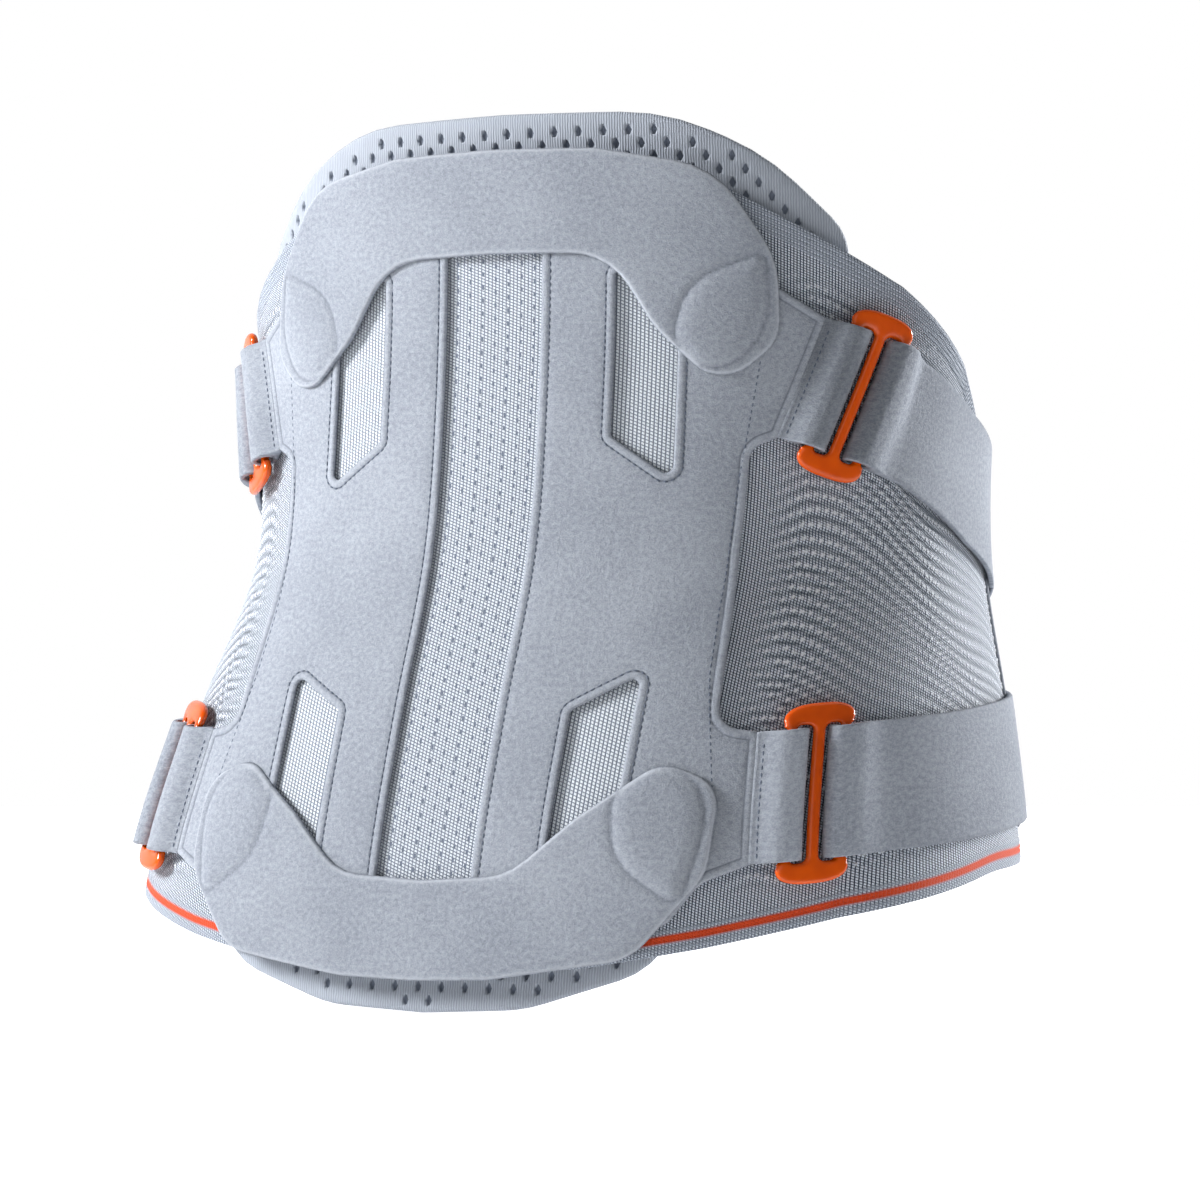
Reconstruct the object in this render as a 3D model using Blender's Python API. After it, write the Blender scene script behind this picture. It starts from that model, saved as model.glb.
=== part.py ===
"""Lumbar support belt, worn shape, in metres with +Z up.

The belt is knitted fabric wrapped round a torso, so every fabric piece starts flat.
A flat outline lives in (u, z): u is the distance along the body from the spine,
positive towards the wearer's right, and z is the height over the waist reference.
The offset d is the distance outward from the body. Flat pieces are cut along one
shared grid and wrapped with it, so that layers which lie on each other stay parallel.

-Y is the wearer's back, +Y the front closure, and +X the wearer's right.
"""

import bisect
import math

import bmesh
import bpy
from mathutils import Matrix, Vector

MM = 0.001

# --- Torso form -------------------------------------------------------------
WAIST_WIDTH = 276.0          # side to side at the waist
WAIST_DEPTH = 204.0          # back to front at the waist
SPINE_SETBACK = 87.0         # spine behind the origin at the waist

# height, extra half width, extra half depth, extra spine setback, back fullness
LEVELS = (
    (-185.0, 27.0, 25.0, 60.0, 2.6),
    (-115.0, 23.0, 22.0, 48.0, 2.6),
    (-60.0, 13.5, 14.0, 29.0, 2.4),
    (0.0, -0.5, 4.0, 5.0, 2.25),
    (60.0, 1.5, -4.0, -4.5, 2.15),
    (120.0, 9.0, -4.0, -7.0, 2.05),
    (185.0, 13.0, -3.0, -4.0, 2.0),
)
FRONT_FULLNESS = 2.3
SECTION_STEPS = 720

# --- How the flat outlines lie on the form ----------------------------------
TRUE_REACH = 150.0           # the back keeps its flat lengths out to here
SIDE_U = 210.0               # the widest point of the body, where the side seam is
FRONT_U = 400.0              # front centre
COLUMNS = 25                 # wrap cells between spine and front centre
ROW_HEIGHT = 45.0            # height of a wrap cell

# --- Layers: offsets from the body ------------------------------------------
LAYER_GAP = 0.35
PAD_THICKNESS = 3.0
CORE_THICKNESS = 2.0
KNIT_THICKNESS = 1.6
LINING_THICKNESS = 1.0
STAY_THICKNESS = 0.7
COVER_THICKNESS = 1.1
YOKE_THICKNESS = 1.9
CLOSURE_THICKNESS = 1.0
HOOK_THICKNESS = 0.6
TONGUE_THICKNESS = 1.8
STRAP_THICKNESS = 2.2

# --- Back, in flat (u, z) ---------------------------------------------------
STRIP_HALF = 19.0            # half of the knit strip between the panel halves
BAND_HALF = 94.0             # half width of the panel between the arms
PANEL_TOP = 135.0
PANEL_BOTTOM = -135.0
STAY_WIDTH = 12.0
INNER_STAY_U = 33.0
OUTER_STAY_U = 82.0
INNER_STAY_SPAN = (-122.0, 122.0)
OUTER_STAY_SPAN = (-105.0, 103.0)
WINDOW_INNER = 46.5
WINDOW_OUTER = 69.0
WINDOW_RADIUS = 2.5
NECK_U = 67.0                # where the yoke lobes start to peel
PEEL_GAP = 1.2

# --- Straps and buckles, in the frame of one buckle --------------------------
STRAP_WIDTH = 47.0
BUCKLE_SIDE_CLEARANCE = 1.1
BUCKLE_FLANGE = 7.6
BUCKLE_LENGTH = 24.0         # along the strap
BUCKLE_THICKNESS = 3.2
BAR_PITCH = 9.0              # centre bar to outer bar
CENTRE_BAR = 4.0
OUTER_BAR = 3.2
LOOP_FABRIC = 1.2
LOOP_INSIDE = 3.6            # radius inside a fabric loop
LOOP_SEAM = 19.5             # centre bar to the seam that sews the loop to its arm
SEAM_GAP = 0.5
UPPER_BUCKLE = (131.0, 58.0, -19.5)   # u, z and slope of the strap in degrees
LOWER_BUCKLE = (134.0, -87.0, 5.5)
UPPER_TAB_START = 140.0
LOWER_TAB_START = 136.0
TAB_LENGTH = 44.0
HOOK_INSET = 4.0

# --- Front closure ----------------------------------------------------------
FRONT_GAP = 4.0              # between the two front edges
SIDE_GAP = 1.2               # at the side seam where a front flap swings
CLOSURE_START = 250.0
CLOSURE_TOP = 34.0
CLOSURE_BOTTOM = -104.0
TONGUE_START = 352.0
TONGUE_LAP = 36.0            # how far the tongue reaches past the front centre
TONGUE_TOP = 22.0
TONGUE_BOTTOM = -92.0
POCKET_WIDTH = 34.0
POCKET_HEIGHT = 76.0
POCKET_THICKNESS = 4.2
POCKET_FABRIC = 1.1
POCKET_Z = -35.0
LEFT_POCKET_U = 337.0

# --- Hinges -----------------------------------------------------------------
AXIS_GAP = 0.8               # a fabric hinge lies this far outside its fabric

# Offsets of each layer (inner, outer), stacked from the body outwards.
PAD_D = (0.0, PAD_THICKNESS)
CORE_D = (PAD_D[1] + LAYER_GAP, PAD_D[1] + LAYER_GAP + CORE_THICKNESS)
KNIT_D = (CORE_D[1] + LAYER_GAP, CORE_D[1] + LAYER_GAP + KNIT_THICKNESS)
LINING_D = (KNIT_D[1] + LAYER_GAP, KNIT_D[1] + LAYER_GAP + LINING_THICKNESS)
STAY_D = (LINING_D[1] + LAYER_GAP, LINING_D[1] + LAYER_GAP + STAY_THICKNESS)
COVER_D = (STAY_D[1] + LAYER_GAP, STAY_D[1] + LAYER_GAP + COVER_THICKNESS)
YOKE_D = (COVER_D[1] + LAYER_GAP, COVER_D[1] + LAYER_GAP + YOKE_THICKNESS)
CLOSURE_D = (KNIT_D[1] + LAYER_GAP, KNIT_D[1] + LAYER_GAP + CLOSURE_THICKNESS)
HOOK_D = (CLOSURE_D[1] + LAYER_GAP, CLOSURE_D[1] + LAYER_GAP + HOOK_THICKNESS)
TONGUE_D = (HOOK_D[1] + LAYER_GAP, HOOK_D[1] + LAYER_GAP + TONGUE_THICKNESS)
STRAP_D = (HOOK_D[0], HOOK_D[0] + STRAP_THICKNESS)
TAB_D = (HOOK_D[1] + LAYER_GAP, STRAP_D[1])
LOOP_OUTSIDE = LOOP_INSIDE + LOOP_FABRIC
BAR_D = KNIT_D[1] + LAYER_GAP + LOOP_OUTSIDE


class Form:
    """The torso that the fabric is wrapped on."""

    def __init__(self):
        self.heights = [level[0] for level in LEVELS]
        self.cells = {}

    def level_value(self, z, column):
        """Return one column of LEVELS at height z, on a smooth curve through its rows."""
        z = min(max(z, self.heights[0]), self.heights[-1])
        last = len(LEVELS) - 1
        i = min(max(bisect.bisect_right(self.heights, z) - 1, 0), last - 1)
        span = self.heights[i + 1] - self.heights[i]
        t = (z - self.heights[i]) / span

        def slope(k):
            low, high = max(k - 1, 0), min(k + 1, last)
            rise = LEVELS[high][column] - LEVELS[low][column]
            return rise / (self.heights[high] - self.heights[low]) * span

        start, end = LEVELS[i][column], LEVELS[i + 1][column]
        return (
            (2 * t**3 - 3 * t**2 + 1) * start
            + (t**3 - 2 * t**2 + t) * slope(i)
            + (3 * t**2 - 2 * t**3) * end
            + (t**3 - t**2) * slope(i + 1)
        )

    def half_section(self, z):
        """Return arc lengths, points and outward normals from the spine to the front."""
        width = WAIST_WIDTH / 2 + self.level_value(z, 1)
        depth = WAIST_DEPTH / 2 + self.level_value(z, 2)
        middle = depth - SPINE_SETBACK - self.level_value(z, 3)
        back_fullness = self.level_value(z, 4)
        points = []
        for k in range(SECTION_STEPS + 1):
            angle = math.pi * k / SECTION_STEPS
            fullness = back_fullness if angle < math.pi / 2 else FRONT_FULLNESS
            across, along = math.sin(angle), math.cos(angle)
            x = width * max(across, 0.0) ** (2 / fullness)
            y = middle - depth * math.copysign(abs(along) ** (2 / fullness), along)
            points.append((x, y))
        arcs = [0.0]
        for a, b in zip(points, points[1:]):
            arcs.append(arcs[-1] + math.dist(a, b))
        return arcs, points

    def arc_at(self, u, arcs):
        """Return the true arc length that a flat distance u lies at on this section."""
        side = arcs[SECTION_STEPS // 2]
        if u <= TRUE_REACH:
            return u
        if u <= SIDE_U:
            return TRUE_REACH + (u - TRUE_REACH) * (side - TRUE_REACH) / (SIDE_U - TRUE_REACH)
        return side + (u - SIDE_U) * (arcs[-1] - side) / (FRONT_U - SIDE_U)

    def node(self, column, row):
        """Return the body point and the outward normal at one corner of the wrap grid."""
        column = (column + COLUMNS) % (2 * COLUMNS) - COLUMNS
        key = (column, row)
        if key not in self.cells:
            z = row * ROW_HEIGHT
            arcs, points = self.half_section(z)
            arc = self.arc_at(abs(column) * FRONT_U / COLUMNS, arcs)
            k = min(max(bisect.bisect_right(arcs, arc), 1), SECTION_STEPS)
            share = (arc - arcs[k - 1]) / (arcs[k] - arcs[k - 1])
            point = Vector(points[k - 1]).lerp(Vector(points[k]), share)
            ahead, behind = min(k + 2, SECTION_STEPS), max(k - 3, 0)
            along = Vector(points[ahead]) - Vector(points[behind])
            if abs(column) in (0, COLUMNS):
                along = Vector((1.0 if column == 0 else -1.0, 0.0))
            normal = Vector((along.y, -along.x)).normalized()
            side = -1.0 if column < 0 else 1.0
            self.cells[key] = (
                Vector((point.x * side, point.y, z)),
                Vector((normal.x * side, normal.y, 0.0)),
            )
        return self.cells[key]

    def point(self, u, z, d):
        """Return the world point, in millimetres, of a flat point on the wrap grid."""
        column_width = FRONT_U / COLUMNS
        column, row = math.floor(u / column_width), math.floor(z / ROW_HEIGHT)
        s, t = u / column_width - column, z / ROW_HEIGHT - row
        if s >= t:
            corners = ((0, 0, 1 - s), (1, 0, s - t), (1, 1, t))
        else:
            corners = ((0, 0, 1 - t), (0, 1, t - s), (1, 1, s))
        total = Vector()
        for i, j, weight in corners:
            body, normal = self.node(column + i, row + j)
            total += (body + normal * d) * weight
        return total


FORM = Form()


# --- Flat outlines ----------------------------------------------------------
def rounded(corners):
    """Return an outline with its corners rounded; a corner is (x, y) or (x, y, radius)."""
    outline = []
    count = len(corners)
    for i, corner in enumerate(corners):
        here = Vector(corner[:2])
        if len(corner) < 3:
            outline.append(tuple(here))
            continue
        before = (Vector(corners[i - 1][:2]) - here).normalized()
        after = (Vector(corners[(i + 1) % count][:2]) - here).normalized()
        half = before.angle(after) / 2
        reach = corner[2] / math.tan(half)
        centre = here + (before + after).normalized() * corner[2] / math.sin(half)
        first, last = here + before * reach - centre, here + after * reach - centre
        sweep = first.angle_signed(last)
        steps = max(2, round(abs(sweep) / math.radians(32)))
        for k in range(steps + 1):
            outline.append(tuple(centre + Matrix.Rotation(-sweep * k / steps, 2) @ first))
    return outline


def mirrored(half):
    """Return a whole outline from its right half, given from top to bottom."""
    left = [(-corner[0], *corner[1:]) for corner in reversed(half) if corner[0] > 0]
    return rounded(list(half) + left)


def in_frame(frame, s, t):
    """Return the flat (u, z) of a point in a buckle's frame."""
    u, z, slope = frame
    angle = math.radians(slope)
    return (
        u + s * math.cos(angle) - t * math.sin(angle),
        z + s * math.sin(angle) + t * math.cos(angle),
    )


def ring(centre, radius, start, end, steps):
    """Return points on an arc, with its angles in degrees."""
    angles = [math.radians(start + (end - start) * k / steps) for k in range(steps + 1)]
    return [(centre[0] + radius * math.cos(a), centre[1] + radius * math.sin(a)) for a in angles]


def knit_half():
    """Return the right half of the knitted body's outline, from top to bottom."""
    edge = FRONT_U - FRONT_GAP / 2
    return [
        (0, 148),
        (66, 146, 40),
        (146, 102, 90),
        (208, 71, 30),
        (232, 46, 30),
        (edge, 40, 12),
        (edge, -110, 12),
        (SIDE_U, -118, 90),
        (104, -142, 120),
        (60, -150, 40),
        (0, -150),
    ]


def panel_half(inner):
    """Return the right half of the back panel from its inner edge, arms included."""
    upper_top = in_frame(UPPER_BUCKLE, -LOOP_SEAM, STRAP_WIDTH / 2)
    upper_bottom = in_frame(UPPER_BUCKLE, -LOOP_SEAM, -STRAP_WIDTH / 2)
    lower_top = in_frame(LOWER_BUCKLE, -LOOP_SEAM, STRAP_WIDTH / 2)
    lower_bottom = in_frame(LOWER_BUCKLE, -LOOP_SEAM, -STRAP_WIDTH / 2)
    return [
        (inner, PANEL_TOP),
        (74, PANEL_TOP, 8),
        (BAND_HALF + 6, 100, 12),
        upper_top,
        upper_bottom,
        (BAND_HALF + 1, upper_bottom[1] - 4, 7),
        (BAND_HALF, 0),
        (BAND_HALF + 4, lower_top[1] + 2, 9),
        lower_top,
        lower_bottom,
        (BAND_HALF + 7, -119, 12),
        (BAND_HALF - 4, PANEL_BOTTOM, 8),
        (inner, PANEL_BOTTOM),
    ]


def windows():
    """Return the two openings of the right panel half, pointed at their outer side."""
    upper = [
        (WINDOW_INNER, 105, WINDOW_RADIUS),
        (WINDOW_OUTER, 105, WINDOW_RADIUS),
        (WINDOW_OUTER, 27, WINDOW_RADIUS),
        (WINDOW_INNER, 43, WINDOW_RADIUS),
    ]
    lower = [
        (WINDOW_INNER, -58, WINDOW_RADIUS),
        (WINDOW_OUTER, -45, WINDOW_RADIUS),
        (WINDOW_OUTER, -112, WINDOW_RADIUS),
        (WINDOW_INNER, -112, WINDOW_RADIUS),
    ]
    return [rounded(upper), rounded(lower)]


def upper_yoke_half():
    """Return the right half of the upper yoke, lobe included, from top to bottom."""
    return [
        (0, 151),
        (40, 150),
        (82, 142, 20),
        (103, 108, 26),
        (104, 78, 16),
        (84, 60, 14),
        (61, 83, 24),
        (44, 111, 26),
        (0, 112),
    ]


def lower_yoke_half():
    """Return the right half of the lower yoke, lobe included, from top to bottom."""
    return [
        (0, -119),
        (34, -117, 24),
        (56, -96, 24),
        (82, -76, 12),
        (103, -84, 14),
        (103, -116, 20),
        (80, -146, 20),
        (30, -154, 30),
        (0, -155),
    ]


# --- Solids -----------------------------------------------------------------
def prism(loops, low, high, plan=True):
    """Extrude loops into a solid: plan loops over the offset, side loops over the width."""
    mesh = bmesh.new()
    edges = []
    for loop in loops:
        ends = [mesh.verts.new((x, -low, y) if plan else (x, -y, low)) for x, y in loop]
        edges += [mesh.edges.new((a, b)) for a, b in zip(ends, ends[1:] + ends[:1])]
    if len(loops) == 1:
        mesh.faces.new(ends)
    else:
        bmesh.ops.triangle_fill(mesh, use_beauty=True, use_dissolve=False, edges=edges)
    grown = bmesh.ops.extrude_face_region(mesh, geom=mesh.faces[:], use_keep_orig=True)
    moved = [item for item in grown["geom"] if isinstance(item, bmesh.types.BMVert)]
    step = (0, low - high, 0) if plan else (0, 0, high - low)
    bmesh.ops.translate(mesh, verts=moved, vec=step)
    bmesh.ops.recalc_face_normals(mesh, faces=mesh.faces[:])
    return mesh


def cut(mesh, point, normal, clear=False):
    """Cut a flat solid with a plane; with clear, drop what lies on the normal's side."""
    geometry = mesh.verts[:] + mesh.edges[:] + mesh.faces[:]
    result = bmesh.ops.bisect_plane(
        mesh, geom=geometry, dist=1e-4, plane_co=point, plane_no=normal, clear_outer=clear
    )
    if clear:
        rim = [item for item in result["geom_cut"] if isinstance(item, bmesh.types.BMEdge)]
        bmesh.ops.edgeloop_fill(mesh, edges=rim)


def between(mesh, low, high):
    """Keep only the part of a flat solid between two values of u."""
    cut(mesh, (low, 0, 0), (-1, 0, 0), clear=True)
    cut(mesh, (high, 0, 0), (1, 0, 0), clear=True)


def set_in_frame(mesh, frame):
    """Move a solid from a buckle's frame to its place on the flat belt."""
    u, z, slope = frame
    turn = Matrix.Rotation(-math.radians(slope), 4, "Y")
    bmesh.ops.transform(mesh, matrix=Matrix.Translation((u, 0, z)) @ turn, verts=mesh.verts)


def cut_along(mesh, step_u, step_z):
    """Cut a flat solid at each whole value of u * step_u + z * step_z."""
    values = [vert.co.x * step_u + vert.co.z * step_z for vert in mesh.verts]
    normal = Vector((step_u, 0, step_z))
    for k in range(math.ceil(min(values)), math.floor(max(values)) + 1):
        cut(mesh, normal * k / normal.length_squared, normal.normalized())


def wrap(mesh, side=1):
    """Wrap a flat solid on the form, mirrored to the wearer's left when side is -1."""
    if side < 0:
        bmesh.ops.scale(mesh, vec=(-1, 1, 1), verts=mesh.verts)
    bmesh.ops.recalc_face_normals(mesh, faces=mesh.faces[:])
    across, up = COLUMNS / FRONT_U, 1 / ROW_HEIGHT
    cut_along(mesh, across, 0.0)
    cut_along(mesh, 0.0, up)
    cut_along(mesh, across, -up)
    bmesh.ops.remove_doubles(mesh, verts=mesh.verts, dist=0.02)
    bmesh.ops.triangulate(mesh, faces=mesh.faces[:])
    for vert in mesh.verts:
        vert.co = FORM.point(vert.co.x, vert.co.z, -vert.co.y) * MM
    return mesh


# --- Materials --------------------------------------------------------------
def material(name, colour, roughness, metallic=0.0):
    """Return a Principled BSDF material."""
    made = bpy.data.materials.get(name)
    if made is None:
        made = bpy.data.materials.new(name)
        made.use_nodes = True
        shader = made.node_tree.nodes["Principled BSDF"]
        shader.inputs["Base Color"].default_value = (*colour, 1.0)
        shader.inputs["Roughness"].default_value = roughness
        shader.inputs["Metallic"].default_value = metallic
    return made


def knit_fabric():
    """Light grey flat knit of the belt's body."""
    return material("knit_fabric", (0.46, 0.50, 0.58), 0.9)


def velour_fabric():
    """Blue grey brushed loop velour of the panel, yokes and straps."""
    return material("velour_fabric", (0.38, 0.43, 0.51), 0.95)


def spacer_mesh():
    """Grey spacer mesh that lies on the body."""
    return material("spacer_mesh", (0.33, 0.37, 0.43), 0.9)


def pad_foam():
    """Soft foam of the lumbar pad."""
    return material("pad_foam", (0.20, 0.22, 0.26), 0.9)


def spring_steel():
    """Blued spring steel of the stays."""
    return material("spring_steel", (0.42, 0.43, 0.45), 0.3, 1.0)


def orange_plastic():
    """Glossy orange plastic of the buckles."""
    return material("orange_plastic", (0.80, 0.14, 0.01), 0.25)


def hook_tape():
    """Dark hook tape under the tabs and the closing tongue."""
    return material("hook_tape", (0.13, 0.15, 0.18), 0.7)


# --- Bodies -----------------------------------------------------------------
def body(name, start, end):
    """Add the empty that a moving body turns on, with +Z from start to end, and return it."""
    axis = (end - start).normalized()
    pivot = bpy.data.objects.new(name, None)
    pivot.location = (start + end) / 2 * MM
    pivot.rotation_mode = "QUATERNION"
    pivot.rotation_quaternion = Vector((0, 0, 1)).rotation_difference(axis)
    bpy.context.scene.collection.objects.link(pivot)
    return pivot


def add(name, mesh, finish, pivot=None):
    """Add a wrapped solid as a named object, on its body's pivot if it moves."""
    data = bpy.data.meshes.new(name)
    piece = bpy.data.objects.new(name, data)
    bpy.context.scene.collection.objects.link(piece)
    if pivot is not None:
        bpy.context.view_layer.update()
        mesh.transform(pivot.matrix_world.inverted())
        piece.parent = pivot
    mesh.to_mesh(data)
    mesh.free()
    data.materials.append(finish())
    return piece


def side_word(side):
    """Return the word for one side of the wearer."""
    return "right" if side > 0 else "left"


def swing_axis(side, u, low, high, offset):
    """Return two points of a hinge line that runs up the belt at one flat distance u."""
    return FORM.point(side * u, low, offset), FORM.point(side * u, high, offset)


# --- Pieces of the back -----------------------------------------------------
def add_back_layers():
    """Add the mesh pad, its foam core, the knitted back and the panel's lining."""
    pad = [
        (0, 165),
        (64, 164, 30),
        (100, 148, 30),
        (134, 116, 14),
        (BAND_HALF + 16, 40, 40),
        (BAND_HALF + 14, -118, 20),
        (84, -151, 30),
        (40, -165, 60),
        (0, -167),
    ]
    core = [(0, 62), (58, 62, 22), (64, -20, 60), (56, -100, 24), (0, -100)]
    add("mesh_pad", wrap(prism([mirrored(pad)], *PAD_D)), spacer_mesh)
    add("lumbar_pad", wrap(prism([mirrored(core)], *CORE_D)), pad_foam)
    knit = prism([mirrored(knit_half())], *KNIT_D)
    reach = SIDE_U - SIDE_GAP / 2
    between(knit, -reach, reach)
    add("knit_back", wrap(knit), knit_fabric)
    add("panel_lining", wrap(prism([mirrored(panel_half(0))], *LINING_D)), knit_fabric)


def add_panel_half(side):
    """Add one velour half of the back panel, with its two windows and two arms."""
    mesh = prism([rounded(panel_half(STRIP_HALF)), *windows()], *COVER_D)
    add(f"panel_cover_{side_word(side)}", wrap(mesh, side), velour_fabric)


def add_stays(side):
    """Add the inner and the outer spring steel stay of one side."""
    places = (("inner", INNER_STAY_U, INNER_STAY_SPAN), ("outer", OUTER_STAY_U, OUTER_STAY_SPAN))
    for word, u, (low, high) in places:
        half, corner = STAY_WIDTH / 2, STAY_WIDTH / 2 - 0.5
        outline = rounded([
            (u - half, high, corner),
            (u + half, high, corner),
            (u + half, low, corner),
            (u - half, low, corner),
        ])
        mesh = wrap(prism([outline], *STAY_D), side)
        add(f"back_stay_{word}_{side_word(side)}", mesh, spring_steel)


def add_yoke(word, half, low, high):
    """Add one yoke, with a lobe on each side that peels off the panel."""
    centre = prism([mirrored(half)], *YOKE_D)
    reach = NECK_U - PEEL_GAP / 2
    between(centre, -reach, reach)
    add(f"{word}_yoke", wrap(centre), velour_fabric)
    for side in (1, -1):
        lobe = prism([mirrored(half)], *YOKE_D)
        cut(lobe, (NECK_U + PEEL_GAP / 2, 0, 0), (-1, 0, 0), clear=True)
        axis = swing_axis(side, NECK_U, low, high, YOKE_D[1] + AXIS_GAP)
        pivot = body(f"{word}_lobe_{side_word(side)}_pivot", *axis)
        add(f"{word}_lobe_{side_word(side)}", wrap(lobe, side), velour_fabric, pivot)


# --- Straps and buckles -----------------------------------------------------
def loop_profile(end, bottom, top):
    """Return a fabric loop round the bar at BAR_PITCH, with its two plies running to end."""
    centre = (BAR_PITCH, BAR_D)
    start = math.degrees(math.asin((top - BAR_D) / LOOP_OUTSIDE))
    stop = 180 - math.degrees(math.asin((bottom - BAR_D) / LOOP_OUTSIDE))
    stop = 540 - stop
    outside = ring(centre, LOOP_OUTSIDE, start, stop, 10)
    inside = ring(centre, LOOP_INSIDE, 0, 360, 10)[:-1]
    return [outside + [(end, bottom), (end, top)], inside]


def add_arm_loop(name, frame, side):
    """Add the folded loop at the end of a panel arm, which holds a buckle's inner bar."""
    profile = loop_profile(LOOP_SEAM - SEAM_GAP, STRAP_D[0], COVER_D[1])
    mesh = prism(profile, -STRAP_WIDTH / 2, STRAP_WIDTH / 2, plan=False)
    bmesh.ops.scale(mesh, vec=(-1, 1, 1), verts=mesh.verts)
    set_in_frame(mesh, frame)
    add(name, wrap(mesh, side), velour_fabric)


def buckle_outline():
    """Return the buckle's outline and its two slots, in its own frame."""
    inside = STRAP_WIDTH / 2 + BUCKLE_SIDE_CLEARANCE
    outside = inside + BUCKLE_FLANGE
    waist = BAR_PITCH + OUTER_BAR / 2
    tip = BUCKLE_LENGTH / 2
    corner = BUCKLE_FLANGE / 2 - 0.3
    quarter = [(tip, outside, corner), (tip, inside, corner), (waist, inside), (waist, -inside)]
    quarter += [(tip, -inside, corner), (tip, -outside, corner)]
    outline = rounded(quarter + [(-s, t, *radius) for s, t, *radius in reversed(quarter)])
    near, far = CENTRE_BAR / 2, BAR_PITCH - OUTER_BAR / 2
    slot = rounded([(near, inside, 1.5), (far, inside, 1.5), (far, -inside, 1.5), (near, -inside, 1.5)])
    return [outline, slot, [(-s, t) for s, t in reversed(slot)]]


def add_buckle(name, frame, side):
    """Add a three-bar link, hinged on the bar that its arm holds."""
    mesh = prism(buckle_outline(), BAR_D - BUCKLE_THICKNESS / 2, BAR_D + BUCKLE_THICKNESS / 2)
    set_in_frame(mesh, frame)
    ends = [in_frame(frame, -BAR_PITCH, t) for t in (-STRAP_WIDTH / 2, STRAP_WIDTH / 2)]
    axis = [FORM.point(side * u, z, BAR_D) for u, z in ends]
    pivot = body(f"{name}_pivot", *axis)
    add(name, wrap(mesh, side), orange_plastic, pivot)


def strap(frame, end):
    """Return a whole strap, from its loop on the buckle to its tab, still flat."""
    mesh = prism(loop_profile(end, *STRAP_D), -STRAP_WIDTH / 2, STRAP_WIDTH / 2, plan=False)
    set_in_frame(mesh, frame)
    return mesh


def tab_outline(start, inset):
    """Return the outline of a strap's end tab or, with an inset, of its hook patch."""
    half = STRAP_WIDTH / 2 - inset
    low, high, radius = start + PEEL_GAP + inset, start + TAB_LENGTH - inset, 14.0 - inset
    return rounded([(low, half), (high, half, radius), (high, -half, radius), (low, -half)])


def add_strap(word, frame, tab_start, side, flap):
    """Add a strap in its rear and front stretches, with a tab that peels off."""
    rear = strap(frame, tab_start)
    cut(rear, (SIDE_U - SIDE_GAP / 2, 0, 0), (1, 0, 0), clear=True)
    add(f"{word}_strap_rear_{side_word(side)}", wrap(rear, side), velour_fabric)
    front = strap(frame, tab_start)
    cut(front, (SIDE_U + SIDE_GAP / 2, 0, 0), (-1, 0, 0), clear=True)
    add(f"{word}_strap_front_{side_word(side)}", wrap(front, side), velour_fabric, flap)
    ends = [in_frame(frame, tab_start + PEEL_GAP / 2, t) for t in (-STRAP_WIDTH / 2, STRAP_WIDTH / 2)]
    axis = [FORM.point(side * u, z, STRAP_D[1] + AXIS_GAP) for u, z in ends]
    pivot = body(f"{word}_tab_{side_word(side)}_pivot", *axis)
    tab = prism([tab_outline(tab_start, 0.0)], *TAB_D)
    set_in_frame(tab, frame)
    add(f"{word}_strap_tab_{side_word(side)}", wrap(tab, side), velour_fabric, pivot)
    hook = prism([tab_outline(tab_start, HOOK_INSET)], *HOOK_D)
    set_in_frame(hook, frame)
    add(f"{word}_tab_hook_{side_word(side)}", wrap(hook, side), hook_tape, pivot)


# --- Front closure ----------------------------------------------------------
def plate(left, right, bottom, top, radius, layer):
    """Return a flat rectangle of one layer with rounded corners."""
    corners = [(left, top, radius), (right, top, radius), (right, bottom, radius), (left, bottom, radius)]
    return prism([rounded(corners)], *layer)


def pocket(centre, bottom):
    """Return a flat finger pocket, open at its top and bottom edge."""
    half = POCKET_WIDTH / 2
    top = bottom + POCKET_THICKNESS
    outer = [(-half, bottom), (half, bottom), (half, top, 2.0), (-half, top, 2.0)]
    room = half - 3 * POCKET_FABRIC
    low, high = bottom + POCKET_FABRIC, top - POCKET_FABRIC
    inner = [(-room, low), (room, low), (room, high), (-room, high)]
    loops = [rounded([(centre + c[0], *c[1:]) for c in shape]) for shape in (outer, inner)]
    return prism(loops, POCKET_Z - POCKET_HEIGHT / 2, POCKET_Z + POCKET_HEIGHT / 2, plan=False)


def add_flap(side):
    """Add one knitted front flap with its closure panel, and return its pivot."""
    low, high = -110.0, 40.0
    axis = swing_axis(side, SIDE_U, low, high, STRAP_D[1] + AXIS_GAP)
    flap = body(f"front_flap_{side_word(side)}_pivot", *axis)
    knit = prism([mirrored(knit_half())], *KNIT_D)
    cut(knit, (SIDE_U + SIDE_GAP / 2, 0, 0), (-1, 0, 0), clear=True)
    add(f"knit_front_{side_word(side)}", wrap(knit, side), knit_fabric, flap)
    end = FRONT_U - FRONT_GAP / 2 - 2.0
    panel = plate(CLOSURE_START, end, CLOSURE_BOTTOM, CLOSURE_TOP, 10.0, CLOSURE_D)
    add(f"closure_panel_{side_word(side)}", wrap(panel, side), velour_fabric, flap)
    return flap


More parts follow.
